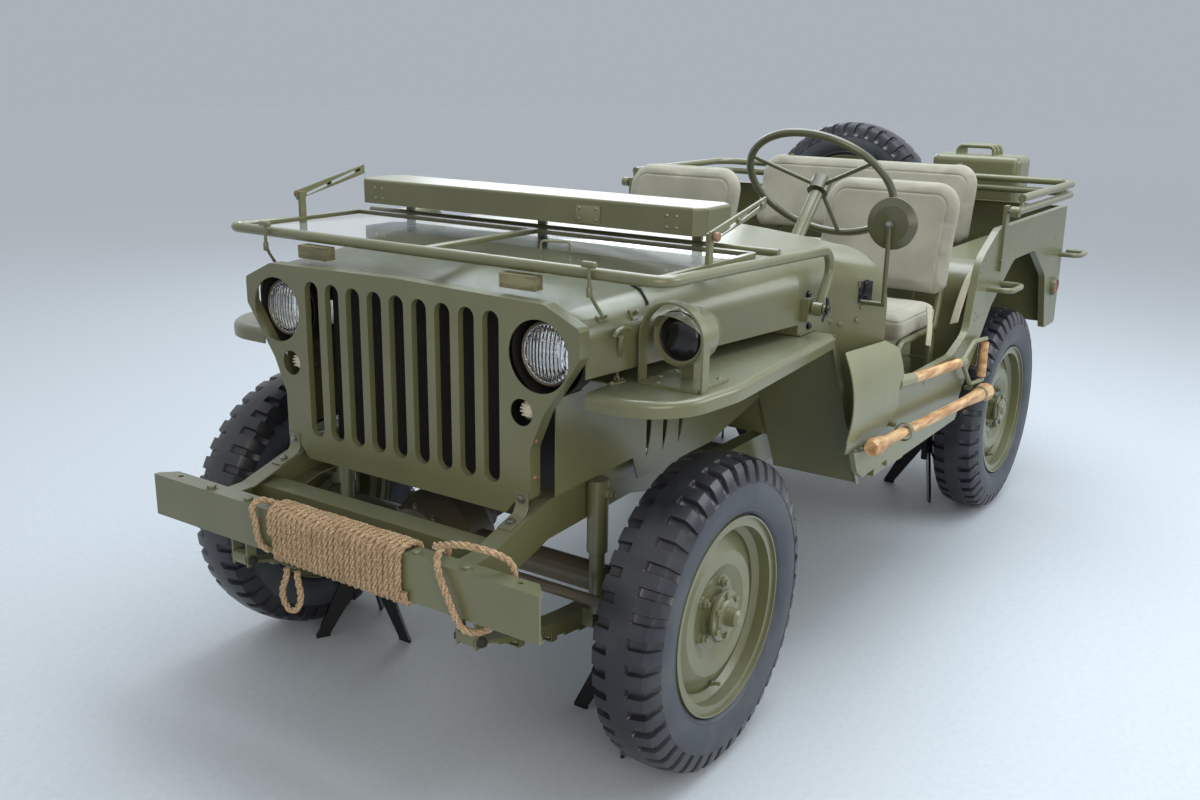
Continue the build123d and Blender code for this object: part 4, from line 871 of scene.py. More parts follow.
def laid_rope(line, thickness, lay):
    """Strands twisted round a line, as one mesh, and the even points that they follow."""
    path = even_steps(line, ROPE_STEP)
    side = (path[1] - path[0]).normalized().orthogonal().normalized()
    sections, travelled = [], 0.0
    for i, place in enumerate(path):
        ahead = (path[min(i + 1, len(path) - 1)] - path[max(i - 1, 0)]).normalized()
        side = (side - ahead * side.dot(ahead)).normalized()
        if i:
            travelled += (place - path[i - 1]).length
        sections.append((place, side.copy(), ahead.cross(side), travelled))
    points, faces = [], []
    for k in range(STRANDS):
        base = len(points)
        for place, side, up, travelled in sections:
            angle = math.tau * (travelled / lay + k / STRANDS)
            centre = place + thickness * STRAND_OFFSET * (math.cos(angle) * side + math.sin(angle) * up)
            for j in range(STRAND_CORNERS):
                turn = angle + math.tau * j / STRAND_CORNERS
                out = math.cos(turn) * side + math.sin(turn) * up
                points.append(centre + thickness * STRAND_RADIUS * out)
        last = base + (len(sections) - 1) * STRAND_CORNERS
        for row in range(base, last, STRAND_CORNERS):
            for j in range(STRAND_CORNERS):
                a, b = row + j, row + (j + 1) % STRAND_CORNERS
                faces.append((a, b, b + STRAND_CORNERS, a + STRAND_CORNERS))
        faces.append(tuple(base + j for j in reversed(range(STRAND_CORNERS))))
        faces.append(tuple(last + j for j in range(STRAND_CORNERS)))
    return made("rope", points, faces), path


def path_length(path):
    return sum((b - a).length for a, b in zip(path, path[1:]))


class CAR_OT_rope(bpy.types.Operator):
    """Winds the tow rope on the bumper, with its hanging bight and its tied end"""

    bl_idname = "car.rope"
    bl_label = "Tow rope"

    def execute(self, context):
        settings = context.scene.car_rope
        face_x, rear_x = BUMPER_HIGH.x, BUMPER_LOW.x
        low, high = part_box("rope_winding")
        turns = self.winding(settings, low.y, high.y)
        self.make("tow_rope_turns", "rope_winding", turns, settings, "object")
        hang_x = face_x + 0.008
        bight = (
            (hang_x, -0.112, low.z), (hang_x, -0.112, low.z - 0.018), (hang_x, -0.130, 0.408),
            (hang_x, -0.132, 0.378), (hang_x, -0.108, 0.352), (hang_x, -0.080, 0.370),
            (hang_x, -0.070, 0.404), (hang_x, -0.080, low.z - 0.018), (hang_x, -0.080, low.z),
        )
        self.make("tow_rope_bight", "rope_bight", bight, settings, "object")
        on_face_x = face_x + 0.0095
        start = (
            (face_x - 0.024, low.y, 0.583), (face_x - 0.024, -0.183, 0.583), (face_x - 0.004, -0.203, 0.592),
            (face_x + 0.017, -0.210, 0.575), (on_face_x, -0.204, 0.545), (on_face_x, -0.202, 0.512),
            (on_face_x, -0.188, 0.486), (on_face_x, low.y, 0.486),
        )
        self.make("tow_rope_start", "rope_start", start, settings, "object")
        end = (
            (rear_x - 0.009, high.y, 0.530), (rear_x - 0.009, high.y + 0.022, 0.530),
            (rear_x - 0.010, 0.288, 0.552), (rear_x - 0.012, 0.302, 0.582),
            (face_x - 0.030, 0.312, 0.600), (face_x + 0.004, 0.322, 0.593),
            (face_x + 0.015, 0.336, 0.562), (face_x + 0.016, 0.364, 0.512), (face_x + 0.013, 0.386, 0.462),
            (face_x - 0.006, 0.398, 0.446), (face_x - 0.036, 0.412, 0.442), (face_x - 0.058, 0.432, 0.462),
            (face_x - 0.066, 0.450, 0.505), (face_x - 0.066, 0.462, 0.552), (face_x - 0.054, 0.466, 0.594),
            (face_x - 0.028, 0.452, 0.618), (face_x - 0.006, 0.420, 0.631), (face_x + 0.004, 0.376, 0.632),
            (face_x + 0.004, 0.336, 0.619), (face_x + 0.001, 0.316, 0.612),
        )
        self.make("tow_rope_end", "rope_end", end, settings, "bare")
        return {"FINISHED"}

    def winding(self, settings, low_y, high_y):
        """Round and round the bumper, seventeen points a turn, each turn a rope's width on."""
        reach = settings.thickness / 2 + 0.0012
        middle_x = (BUMPER_LOW.x + BUMPER_HIGH.x) / 2
        middle_z = (BUMPER_LOW.z + BUMPER_HIGH.z) / 2
        half_x = (BUMPER_HIGH.x - BUMPER_LOW.x) / 2 + reach
        half_z = (BUMPER_HIGH.z - BUMPER_LOW.z) / 2 + reach
        corner = 0.012
        section = (
            (half_x, 0), (half_x, half_z * 0.5), (half_x, half_z - corner), (half_x - corner, half_z),
            (half_x * 0.3, half_z + 0.002), (-half_x * 0.3, half_z + 0.002), (corner - half_x, half_z),
            (-half_x, half_z - corner), (-half_x, half_z * 0.5), (-half_x, 0), (-half_x, -half_z * 0.5),
            (-half_x, corner - half_z), (corner - half_x, -half_z), (0, -half_z - 0.002),
            (half_x - corner, -half_z), (half_x, corner - half_z), (half_x, -half_z * 0.5),
        )
        count = len(section)
        room = high_y - low_y - settings.thickness
        total = settings.turns * count
        chance = random.Random(7)
        wobble = [chance.uniform(-0.0011, 0.0011) for _ in range(settings.turns + 1)]
        points = []
        for i in range(total):
            x, z = section[i % count]
            y = low_y + settings.thickness / 2 + room * i / (total - 1) + wobble[i // count]
            grow = 1 + 0.006 * math.sin(1.7 * i / count)
            points.append((middle_x + x * grow, y, middle_z + z * grow))
        return points

    def make(self, name, node, points, settings, far_end):
        line = route_line(points)
        piece, path = laid_rope(line, settings.thickness, settings.lay)
        deliver(piece, name, "rope", angle=60)
        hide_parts(node)
        path_length(path)


# Each wheel's name in the frame, its body, its centre and the side it is on.
WHEELS = (
    ("front_left", "left_front_wheel", (FRONT_X, WHEEL_Y, AXLE_Z), 1),
    ("front_right", "right_front_wheel", (FRONT_X, -WHEEL_Y, AXLE_Z), -1),
    ("rear_left", "left_rear_wheel", (REAR_X, WHEEL_Y, AXLE_Z), 1),
    ("rear_right", "right_rear_wheel", (REAR_X, -WHEEL_Y, AXLE_Z), -1),
)


class CAR_OT_tyres(bpy.types.Operator):
    """Moulds the five tyres with their bar tread"""

    bl_idname = "car.tyres"
    bl_label = "Tyres"

    def execute(self, context):
        master = self.tyre(context.scene.car_tyre)
        for name, body, centre, _ in WHEELS:
            self.place(master, Matrix.Translation(centre), f"{name}_tread_and_walls", f"{name}_tyre", body)
        low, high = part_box("spare_tyre")
        turn = Matrix.Translation((low + high) / 2) @ Matrix.Rotation(math.radians(90), 4, "Z")
        self.place(master, turn, "spare_tread_and_walls", "spare_tyre", ROOT)
        bpy.data.objects.remove(master)
        return {"FINISHED"}

    def place(self, master, matrix, name, node, body):
        piece = copied(master, matrix)
        walls = [face.index for face in master.data.polygons if face.material_index]
        deliver(piece, name, "rubber", body, angle=28)
        piece.data.materials.append(finish_of("tyre_wall"))
        for index in walls:
            piece.data.polygons[index].material_index = 1
        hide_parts(node)

    def tyre(self, settings):
        """One tyre at the origin that rolls about the Y axis: one bar's sector, copied round."""
        radius = TYRE_RADIUS
        depth = settings.depth
        # Half section as (across, radius, groove's pull inboard, groove's pull inward), centre to bead.
        half = [
            (0.0, radius, 0, 0), (0.018, radius - 0.0008, 0, 0), (0.0225, radius - 0.0012, 0, 0),
            (0.0262, radius - 0.0016, 0, 0.75 * depth), (0.031, radius - 0.0022, 0, depth),
            (0.046, radius - 0.0050, 0, depth), (0.060, radius - 0.0084, 0, depth),
            (0.0685, radius - 0.0200, 0.006, 0.8 * depth), (0.0742, radius - 0.0370, 0.007, 0.2 * depth),
            (0.0776, radius - 0.0495, 0.004, 0), (0.0782, radius - 0.0525, 0, 0),
            (0.0766, radius - 0.0545, 0, 0), (0.0782, radius - 0.0640, 0, 0), (0.0795, radius - 0.0780, 0, 0),
            (0.0782, radius - 0.0930, 0, 0), (0.0745, radius - 0.1080, 0, 0), (0.0705, radius - 0.1165, 0, 0),
            (0.0715, radius - 0.1190, 0, 0), (0.0660, radius - 0.1250, 0, 0), (0.0605, radius - 0.1285, 0, 0),
            (0.0572, radius - 0.1290, 0, 0), (0.0572, radius - 0.1485, 0, 0),
        ]
        wall_from = 11  # The half section's row where the side wall begins.
        rows = [(-a, r, -p, q, -1, i) for i, (a, r, p, q) in reversed(list(enumerate(half[1:], 1)))]
        rows += [(a, r, p, q, 1, i) for i, (a, r, p, q) in enumerate(half)]
        pitch = math.tau / settings.bars
        reach = settings.groove / 2 / radius / pitch
        slope = 0.0026 / radius / pitch
        columns = [0.0, 0.5, 1.0]
        for middle in (0.25, 0.75):
            columns += [middle - reach - slope, middle - reach, middle]
            columns += [middle + reach, middle + reach + slope]
        columns.sort()
        points, faces = [], []
        for share in columns:
            angle = share * pitch
            for across, out, inboard, inward, side, _ in rows:
                off = abs(share - (0.25 if side > 0 else 0.75))
                cut = min(max((reach + slope - off) / slope, 0), 1)
                r = out - cut * inward
                points.append((r * math.sin(angle), across - cut * inboard, r * math.cos(angle)))
        count = len(rows)
        for i in range(len(columns) - 1):
            for j in range(count):
                k = (j + 1) % count
                faces.append((i * count + j, i * count + k, (i + 1) * count + k, (i + 1) * count + j))
        sector = made("tyre_sector", points, faces)
        for i, face in enumerate(sector.data.polygons):
            ends = (rows[i % count][5], rows[(i + 1) % count][5])
            face.material_index = int(min(ends) >= wall_from)
        steps = [Matrix.Rotation(i * pitch, 4, "Y") for i in range(settings.bars)]
        return cleaned(spread(sector, steps), gap=1e-5)


class CAR_OT_hubs(bpy.types.Operator):
    """Bolts on the hubs: wheel nuts, hub flanges with their bolts, and tyre valves"""

    bl_idname = "car.hubs"
    bl_label = "Wheel nuts and hubs"

    def execute(self, context):
        master = self.fittings()
        for name, body, centre, side in WHEELS:
            turn = Matrix.Translation(centre) @ Matrix.Rotation(math.radians(90 * side), 4, "Z")
            deliver(copied(master, turn), f"{name}_hub_fittings", "olive", body)
        low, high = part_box("spare_wheel")
        spare = Matrix.Translation((low + high) / 2) @ Matrix.Rotation(math.pi, 4, "Z")
        nuts = self.nuts(3, 0.0)
        deliver(copied(nuts, spare), "spare_wheel_nuts", "steel")
        bpy.data.objects.remove(nuts)
        bpy.data.objects.remove(master)
        return {"FINISHED"}

    def nuts(self, count, start):
        """Nuts on their studs, facing along X."""
        nut = joined([
            bolt_head(0.0125, 0.013),
            rod(ORIGIN, (0, 0, 0.019), 0.0062, sides=14, edge=0.001),
            turned([(0, 0.0), (0, 0.0145), (0.002, 0.0145), (0.004, 0.0125), (0.004, 0.0)], ORIGIN, UP, 24),
        ])
        return spread(nut, [facing(p, FORWARD) for p in around(count, 0.070, 0.027, start)])

    def fittings(self):
        """A hub's flange, cap bolts and nuts and the wheel's valve, facing along X."""
        section = [
            (0.047, 0.034), (0.047, 0.056), (0.0485, 0.058), (0.0555, 0.058), (0.057, 0.0565), (0.057, 0.031),
            (0.061, 0.030), (0.061, 0.024), (0.047, 0.034),
        ]
        flange = turned(section, ORIGIN, FORWARD)
        places = [facing(p, FORWARD) for p in around(6, 0.048, 0.057)]
        caps = spread(bolt_head(0.0078, 0.0065, 0.0095), places)
        valve = rod((0.018, 0, -0.178), (0.052, 0, -0.170), 0.0042, sides=14, edge=0.0008)
        collar = rod((0.026, 0, -0.176), (0.034, 0, -0.1742), 0.0066, sides=14, edge=0.0008)
        return joined([flange, caps, self.nuts(5, 0.35), valve, collar])


# The left-hand lamps' middles, from the front axle, the car's middle and the floor.
LAMP_X = 0.257
LAMP_Y = 0.3855
LAMP_Z = 0.954
MARKER_Y = 0.343
MARKER_Z = 0.831
BLACKOUT = (0.040, 0.592, 0.985)


class CAR_OT_lamps(bpy.types.Operator):
    """Fits the headlamps, the marker lamps and the guarded blackout lamp"""

    bl_idname = "car.lamps"
    bl_label = "Lamps"

    def execute(self, context):
        for side, word in SIDES:
            self.headlamp(at(LAMP_X, side * LAMP_Y, LAMP_Z), word)
            self.marker(at(LAMP_X + 0.004, side * MARKER_Y, MARKER_Z), word)
        self.blackout(at(*BLACKOUT))
        return {"FINISHED"}

    def headlamp(self, centre, word):
        """A lamp's bucket, rim, dark well, bowl and fluted glass; the well is painted shade, a near-black
        funnel that fills the dark gap behind the grille's lamp hole.
        """
        section = [
            (-0.002, 0.0), (-0.002, 0.059), (-0.004, 0.0668), (-0.030, 0.0645), (-0.058, 0.050),
            (-0.076, 0.026), (-0.080, 0.0),
        ]
        bucket = turned(section, centre, FORWARD)
        deliver(bucket, f"{word}_headlamp_bucket", "black")
        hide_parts("lamp_bodies")
        section = [
            (-0.010, 0.0612), (-0.010, 0.0680), (0.001, 0.0690), (0.0065, 0.0668), (0.0075, 0.0640),
            (0.0040, 0.0612), (-0.010, 0.0612),
        ]
        rim = turned(section, centre, FORWARD, steps=64)
        deliver(rim, f"{word}_headlamp_rim", "brown", angle=50)
        # The well: a near-black funnel round the bucket, painted shade in the gap behind the grille's lamp
        # hole.
        section = [
            (0.004, 0.0900), (-0.050, 0.0860), (-0.078, 0.0500), (-0.080, 0.0520), (-0.051, 0.0885),
            (0.004, 0.0925), (0.004, 0.0900),
        ]
        well = turned(section, centre, FORWARD)
        deliver(well, f"{word}_headlamp_shade_well", "dark", angle=50)
        radii = [0.006 + 0.00455 * i for i in range(13)]
        bowl = [(0.0005 + 0.0045 * (r / 0.0606) ** 2, r) for r in radii]
        section = [(-0.0015, 0.0), (0.0, 0.006), *bowl, (0.0035, 0.0612), (-0.0015, 0.0612), (-0.0015, 0.0)]
        dish = turned(section, centre, FORWARD)
        deliver(dish, f"{word}_headlamp_reflector", "mirror", angle=60)
        crown = dome(-0.0005, 0.0185, 0.0608, steps=14)
        inner = [(max(x - 0.0035, 0.0062), 0.97 * r) for x, r in reversed(crown[:-1])]
        glass = turned([*crown, (0.0045, 0.0605), *inner], centre, FORWARD, steps=64)
        deliver(glass, f"{word}_headlamp_glass", "fluted", angle=60)
        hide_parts("lamp_lenses")

    def marker(self, centre, word):
        """A small lamp's can and its domed lens behind four level slats."""
        section = [
            (-0.034, 0.0), (-0.034, 0.019), (-0.008, 0.0235), (0.004, 0.0240), (0.006, 0.0225),
            (0.002, 0.0205), (0.002, 0.0),
        ]
        can = turned(section, centre, FORWARD, steps=32)
        deliver(can, f"{word}_marker_lamp_can", "brown")
        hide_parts("lamp_bodies")
        section = [*dome(0.004, 0.011, 0.0203), (0.001, 0.0200), (0.001, 0.0)]
        lens = turned(section, centre, FORWARD, steps=32)
        slats = []
        for high, half in ((-0.011, 0.014), (-0.0037, 0.018), (0.0037, 0.018), (0.011, 0.014)):
            low = centre + Vector((0.004, -half, high - 0.0018))
            slats.append(bar(low, centre + Vector((0.0155, half, high + 0.0018)), edge=0.0008))
        whole = joined([lens, *slats])
        deliver(whole, f"{word}_marker_lens", "opal", angle=50)
        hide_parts("lamp_lenses")

    def blackout(self, centre):
        """The guarded lamp's face, its visor, and the rivets and screws of its guard."""
        section = [
            (0.050, 0.0), (0.0585, 0.0), (0.0575, 0.030), (0.0535, 0.046), (0.050, 0.048), (0.050, 0.0),
        ]
        deliver(turned(section, centre, FORWARD), "blackout_lamp_face", "black", angle=60)
        corners = []
        steps = 20
        for i in range(steps + 1):
            angle = math.radians(18 + 144 * i / steps)
            lip = 0.062 + 0.042 * math.sin(math.pi * i / steps)
            for along, radius in ((0.050, 0.0545), (lip, 0.0545), (lip, 0.0560), (0.050, 0.0560)):
                corners.append(centre + Vector((along, radius * math.cos(angle), radius * math.sin(angle))))
        deliver(sleeve("visor", corners), "blackout_lamp_visor", "olive", angle=50)
        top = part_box("blackout_lamp")[0].z + 0.0055
        feet = ((0.012, 0.540), (0.012, 0.644), (0.070, 0.536), (0.070, 0.650), (0.118, 0.560))
        heads = rivets([at(x, y, top) for x, y in feet], UP, 0.0065, 0.0035)
        deliver(heads, "blackout_lamp_rivets", "olive")
        screws = [Vector((0.046, 0.0585 * math.cos(a), 0.0585 * math.sin(a))) for a in (0.3, 2.8, 4.7)]
        heads = rivets([centre + place for place in screws], FORWARD, 0.004, 0.004)
        deliver(heads, "blackout_lamp_screws", "brown")


CLOTH_FACE = 0.0072
CLOTH_FRAMES = 20
CLOTH_SWELL = 0.010


def swollen(pad):
    """Blows a pad up with the cloth solver, every point held to within CLOTH_SWELL of its place."""
    before = [v.co.copy() for v in pad.data.vertices]
    pick(pad)
    cloth = pad.modifiers.new("cloth", "CLOTH")
    cloth.settings.use_pressure = True
    cloth.settings.uniform_pressure_force = 4
    cloth.settings.effector_weights.gravity = 0
    cloth.settings.quality = 4
    cloth.collision_settings.use_collision = False
    for step in range(1, CLOTH_FRAMES + 1):
        bpy.context.scene.frame_set(step)
    bpy.ops.object.modifier_apply(modifier=cloth.name)
    bpy.context.scene.frame_set(1)
    for vertex, first in zip(pad.data.vertices, before):
        move = vertex.co - first
        if move.length > CLOTH_SWELL:
            vertex.co = first + move * (CLOTH_SWELL / move.length)


def cloth_pad(pad, seam):
    """Makes a closed shape into a stuffed pad, with its seams pulled in."""
    modify(pad, "REMESH", mode="VOXEL", voxel_size=CLOTH_FACE)
    swollen(pad)
    modify(pad, "SMOOTH", factor=0.5, iterations=6)
    modify(pad, "SUBSURF", levels=1, render_levels=1)
    normals = [v.normal.copy() for v in pad.data.vertices]
    for vertex, normal in zip(pad.data.vertices, normals):
        vertex.co -= normal * seam(vertex.co)
    return pad


def stitched(distance, width=0.006, depth=0.0034):
    """How deep a seam pulls the cloth in at a distance from it."""
    return depth * max(0.0, 1 - abs(distance) / width) ** 2 if abs(distance) < width else 0.0


class CAR_OT_seats(bpy.types.Operator):
    """Stuffs the canvas cushions and backs of the seats"""

    bl_idname = "car.seats"
    bl_label = "Seat pads"

    def execute(self, context):
        front_cushion = self.cushion("driver_seat_pads")
        front_back = self.leaning_back("driver_seat_pads")
        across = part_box("passenger_seat_pads")[0].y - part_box("driver_seat_pads")[0].y
        step = Matrix.Translation((0, across, 0))
        for master, word in ((front_cushion, "cushion"), (front_back, "back")):
            self.finish(copied(master, step), f"passenger_{word}", "passenger_seat_pads", "passenger_seat")
            self.finish(master, f"driver_{word}", "driver_seat_pads", ROOT)
        self.finish(self.cushion("rear_seat_pads"), "rear_cushion", "rear_seat_pads", ROOT)
        self.finish(self.leaning_back("rear_seat_pads"), "rear_back", "rear_seat_pads", ROOT)
        return {"FINISHED"}

    def finish(self, piece, name, node, body):
        deliver(piece, name, "canvas", body, angle=60)
        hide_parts(node)

    def parts(self, node):
        """The corner points of a CAD pad: its cushion's, then its back's."""
        points = [v.co.copy() for v in NODES[node].data.vertices]
        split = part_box(node)[0].z + 0.083
        return [p for p in points if p.z < split], [p for p in points if p.z >= split]

    def cushion(self, node):
        """A cushion with a welt round its top and a seam inside it."""
        seat, _ = self.parts(node)
        inset = 0.007
        low = Vector([min(p[i] for p in seat) for i in range(3)]) + Vector((inset, inset, 0.003))
        high = Vector([max(p[i] for p in seat) for i in range(3)]) - Vector((inset, inset, inset + 0.002))
        piece = bar(low, high, edge=0)
        self.round_upright(piece, 0.045)
        rounded(piece, 0.018, segments=3, angle=40)
        seam_z = high.z - 0.012

        def seam(place):
            edge = min(place.x - low.x, high.x - place.x, place.y - low.y, high.y - place.y)
            welt = stitched(place.z - seam_z, 0.005, 0.003)
            return welt + (stitched(edge - 0.055) if place.z > seam_z else 0.0)

        return cloth_pad(piece, seam)

    def round_upright(self, piece, width):
        """Rounds a box's four upright edges."""
        pick(piece)
        bpy.ops.object.mode_set(mode="EDIT")
        mesh = bmesh.from_edit_mesh(piece.data)
        for edge in mesh.edges:
            a, b = edge.verts
            edge.select = abs(a.co.x - b.co.x) < 1e-6 and abs(a.co.y - b.co.y) < 1e-6
        bmesh.update_edit_mesh(piece.data)
        bpy.ops.mesh.bevel(offset=width, segments=6, clamp_overlap=True)
        bpy.ops.object.mode_set(mode="OBJECT")

    def leaning_back(self, node):
        """A back with round upper corners, leaning rearward, with a seam inside its front edge."""
        _, back = self.parts(node)
        thick = 0.048
        inset = 0.006
        corner = 0.070
        low_z, high_z = min(p.z for p in back) + inset, max(p.z for p in back) - inset
        y_low, y_high = min(p.y for p in back), max(p.y for p in back)
        front_low, rear_high = max(p.x for p in back), min(p.x for p in back)
        lean_x = front_low - rear_high - thick
        middle_y = (y_low + y_high) / 2
        half = (y_high - y_low) / 2 - inset
        tall = high_z - low_z
        outline = []
        for y, start in ((half - corner, 0), (corner - half, 90)):
            for i in range(7):
                angle = math.radians(start + 15 * i)
                outline.append((y + corner * math.cos(angle), tall - corner + corner * math.sin(angle)))
        outline += [(-half, 0.020), (0.020 - half, 0.0), (half - 0.020, 0.0), (half, 0.020)]
        piece = plate(outline, thick - 2 * inset, ORIGIN, (0, 1, 0), UP, edge=0.012)
        middle_x = front_low - thick / 2 - inset
        for vertex in piece.data.vertices:
            vertex.co.x += middle_x - lean_x * (vertex.co.z / tall)
            vertex.co.y += middle_y
            vertex.co.z += low_z

        def seam(place):
            edge = min(half - abs(place.y - middle_y), high_z - place.z)
            if place.z > high_z - corner and abs(place.y - middle_y) > half - corner:
                centre_y = middle_y + math.copysign(half - corner, place.y - middle_y)
                edge = corner - math.hypot(place.y - centre_y, place.z - (high_z - corner))
            ahead = place.x - (middle_x - lean_x * (place.z - low_z) / tall)
            return stitched(edge - 0.030, 0.006, 0.003) if ahead > 0.006 else 0.0

        return cloth_pad(piece, seam)


class CAR_OT_nose(bpy.types.Operator):
    """Fits the bolts, stays and catches of the nose and the hood, and the springs' clips and pins"""

    bl_idname = "car.nose"
    bl_label = "Nose fittings"

    def execute(self, context):
        top = BUMPER_HIGH.z - 0.0003
        heads = [at(x, side * y, top) for side, _ in SIDES for x, y in ((0.518, 0.253), (0.516, 0.382))]
        deliver(bolts(heads, UP, 0.011, 0.008, 0.015), "bumper_bolts", "olive")
        for side, word in SIDES:
            self.stay(side, word)
            self.windscreen_catch(side, word)
            self.hood_catch(side, word)
            self.spring_clips(side, word)
        places = ((0.052, 0.492, 1.040), (0.030, 0.455, 1.055), (0.006, 0.415, 1.068), (-0.018, 0.375, 1.078))
        pad = [seated("hood", at(*place), (0, 0.3, 1), sink=-0.0022) for place in places]
        deliver(strip(pad, 0.020, 0.004, (1, 0.55, 0), 0.0008), "hood_rubber_pad", "dark")
        return {"FINISHED"}

    def stay(self, side, word):
        """A bent stay from the grille's foot to the rail, with its bolts and the grille's side rivets."""
        y = side * SPRING_Y
        grille = seated("grille", at(0.30, y, 0.645), FORWARD, 0)
        rail = seated("frame", at(0.336, y, 0.60), UP, 0)
        route = [grille + Vector((0.0017, 0, 0.014)), grille + Vector((0.0017, 0, -0.018))]
        route += [rail + Vector((-0.030, 0, 0.0108)), rail + Vector((0.022, 0, -0.0047))]
        deliver(strip(route, 0.034, 0.003, (0, 1, 0), 0.0006), f"{word}_grille_stay", "olive")
        heads = joined([
            bolts([grille + Vector((0.003, 0, 0))], FORWARD, *BODY_BOLT),
            bolts([rail + Vector((-0.002, 0, 0.0028))], (0.29, 0, 0.96), 0.009, 0.007, 0.012),
        ])
        deliver(heads, f"{word}_grille_stay_bolts", "steel")
        pair = [at(0.282, side * 0.3730, 0.772), at(0.278, side * 0.3662, 0.690)]
        deliver(rivets(pair, (0, side, -0.2), 0.0065, 0.0035), f"{word}_grille_rivets", "copper")

    def windscreen_catch(self, side, word):
        """A hook that stands before the folded windscreen's front tube."""
        slope = (0.14, side * 0.75, 0.65)
        route = ((0.2420, 0.470, 1.142), (0.2420, 0.472, 1.084), (0.2040, 0.478, 1.034))
        stem = tube([at(x, side * y, z) for x, y, z in route], 0.0038)
        grip = (at(0.2420, side * 0.455, 1.142), at(0.2420, side * 0.487, 1.142))
        head = rod(*grip, 0.0068, sides=16, edge=0.002)
        neck = (at(0.2420, side * 0.4715, 1.098), at(0.2420, side * 0.4722, 1.078))
        collar = rod(*neck, 0.0062, sides=16, edge=0.001)
        foot = seated("hood", at(0.200, side * 0.476, 1.03), slope, 0)
        base = stood(bar((-0.013, -0.008, 0), (0.013, 0.008, 0.004), 0.001), foot, slope)
        loop = [(-0.006, 0, 0.002), (-0.006, 0, 0.014), (0.006, 0, 0.014), (0.006, 0, 0.002)]
        eye = stood(tube(loop, 0.0024, 0.006), foot, slope)
        deliver(joined([stem, head, collar, base, eye]), f"{word}_windscreen_catch", "olive")

    def hood_catch(self, side, word):
        """The hood's catch: a hammer head on a spring stem, hooked to an oval foot on the fender."""
        slope = (0.13, side * 0.85, 0.5)
        foot = seated(f"{word}_front_fender", at(0.148, side * 0.478, 0.886), UP, 0)
        outline = [(0.028 * math.cos(a), 0.014 * math.sin(a)) for a in [math.tau * i / 28 for i in range(28)]]
        oval = plate(outline, 0.004, foot + Vector((0, 0, 0.002)), FORWARD, (0, 1, 0))
        route = ((-0.005, 0.003), (-0.005, 0.014), (0.005, 0.014), (0.005, 0.003))
        loop = tube([foot + Vector((0, side * across, high)) for across, high in route], 0.0022, 0.005)
        top = at(0.176, side * 0.506, 0.998)
        stem = rod(foot + Vector((0, 0, 0.010)), top, 0.0032, sides=12)
        sleeved = rod(foot.lerp(top, 0.55), foot.lerp(top, 0.95), 0.0062, sides=16, edge=0.0015)
        route = ((-0.028, 0.004), (-0.008, 0.010), (0.012, 0.008), (0.028, -0.004))
        head = tube([top + Vector((ahead, 0, high)) for ahead, high in route], 0.0052, 0.012)
        hook = seated("hood", at(0.112, side * 0.488, 1.022), slope, 0)
        keeper = stood(bar((-0.009, -0.012, 0), (0.009, 0.012, 0.005), 0.0012), hook, slope)
        lug = rod(hook, hook + Vector((0.004, side * 0.016, 0.012)), 0.0042, sides=12, edge=0.001)
        deliver(joined([oval, loop, stem, sleeved, head, keeper, lug]), f"{word}_hood_catch", "olive")
        screws = [foot + Vector((d, 0, 0.0038)) for d in (-0.019, 0.019)]
        deliver(rivets(screws, UP, 0.0045, 0.003), f"{word}_hood_catch_screws", "steel")

    def spring_clips(self, side, word):
        """Bent clips round the leaves, and the pins in the spring's eyes, front and rear."""
        seat = AXLE_Z - 0.042
        out = Vector((0, side, 0))
        clips, pins = [], []
        for middle, half, drop in ((0.0, 0.462, 0.0), (REAR_AHEAD, 0.480, 0.003)):
            for end in (1, -1):
                for reach in (0.215, 0.330):
                    lift = 0.074 * (reach / half) ** 2
                    leaves = 1 + int((half - reach) / 0.058)
                    x = middle + end * reach
                    high = seat - drop + lift + 0.0022
                    low = seat - drop + lift - 0.007 * leaves - 0.0042
                    corners = ((-0.0245, low), (-0.0245, high), (0.0245, high), (0.0245, low), (-0.0245, low))
                    loop = [at(x, side * (SPRING_Y + across), z) for across, z in corners]
                    clips.append(strip(loop, 0.020, 0.0028, FORWARD))
                eye = at(middle + end * (half + 0.006), side * SPRING_Y, seat - drop + 0.080)
                pins.append(rod(eye - 0.036 * out, eye + 0.040 * out, 0.0085, sides=18, edge=0.001))
                pins.append(rod(eye + 0.0262 * out, eye + 0.0330 * out, 0.0130, sides=6, edge=0.001))
                pins.append(rod(eye - 0.0340 * out, eye - 0.0270 * out, 0.0130, sides=6, edge=0.001))
        deliver(joined(clips), f"{word}_spring_clips", "olive")
        deliver(joined(pins), f"{word}_spring_pins", "iron")


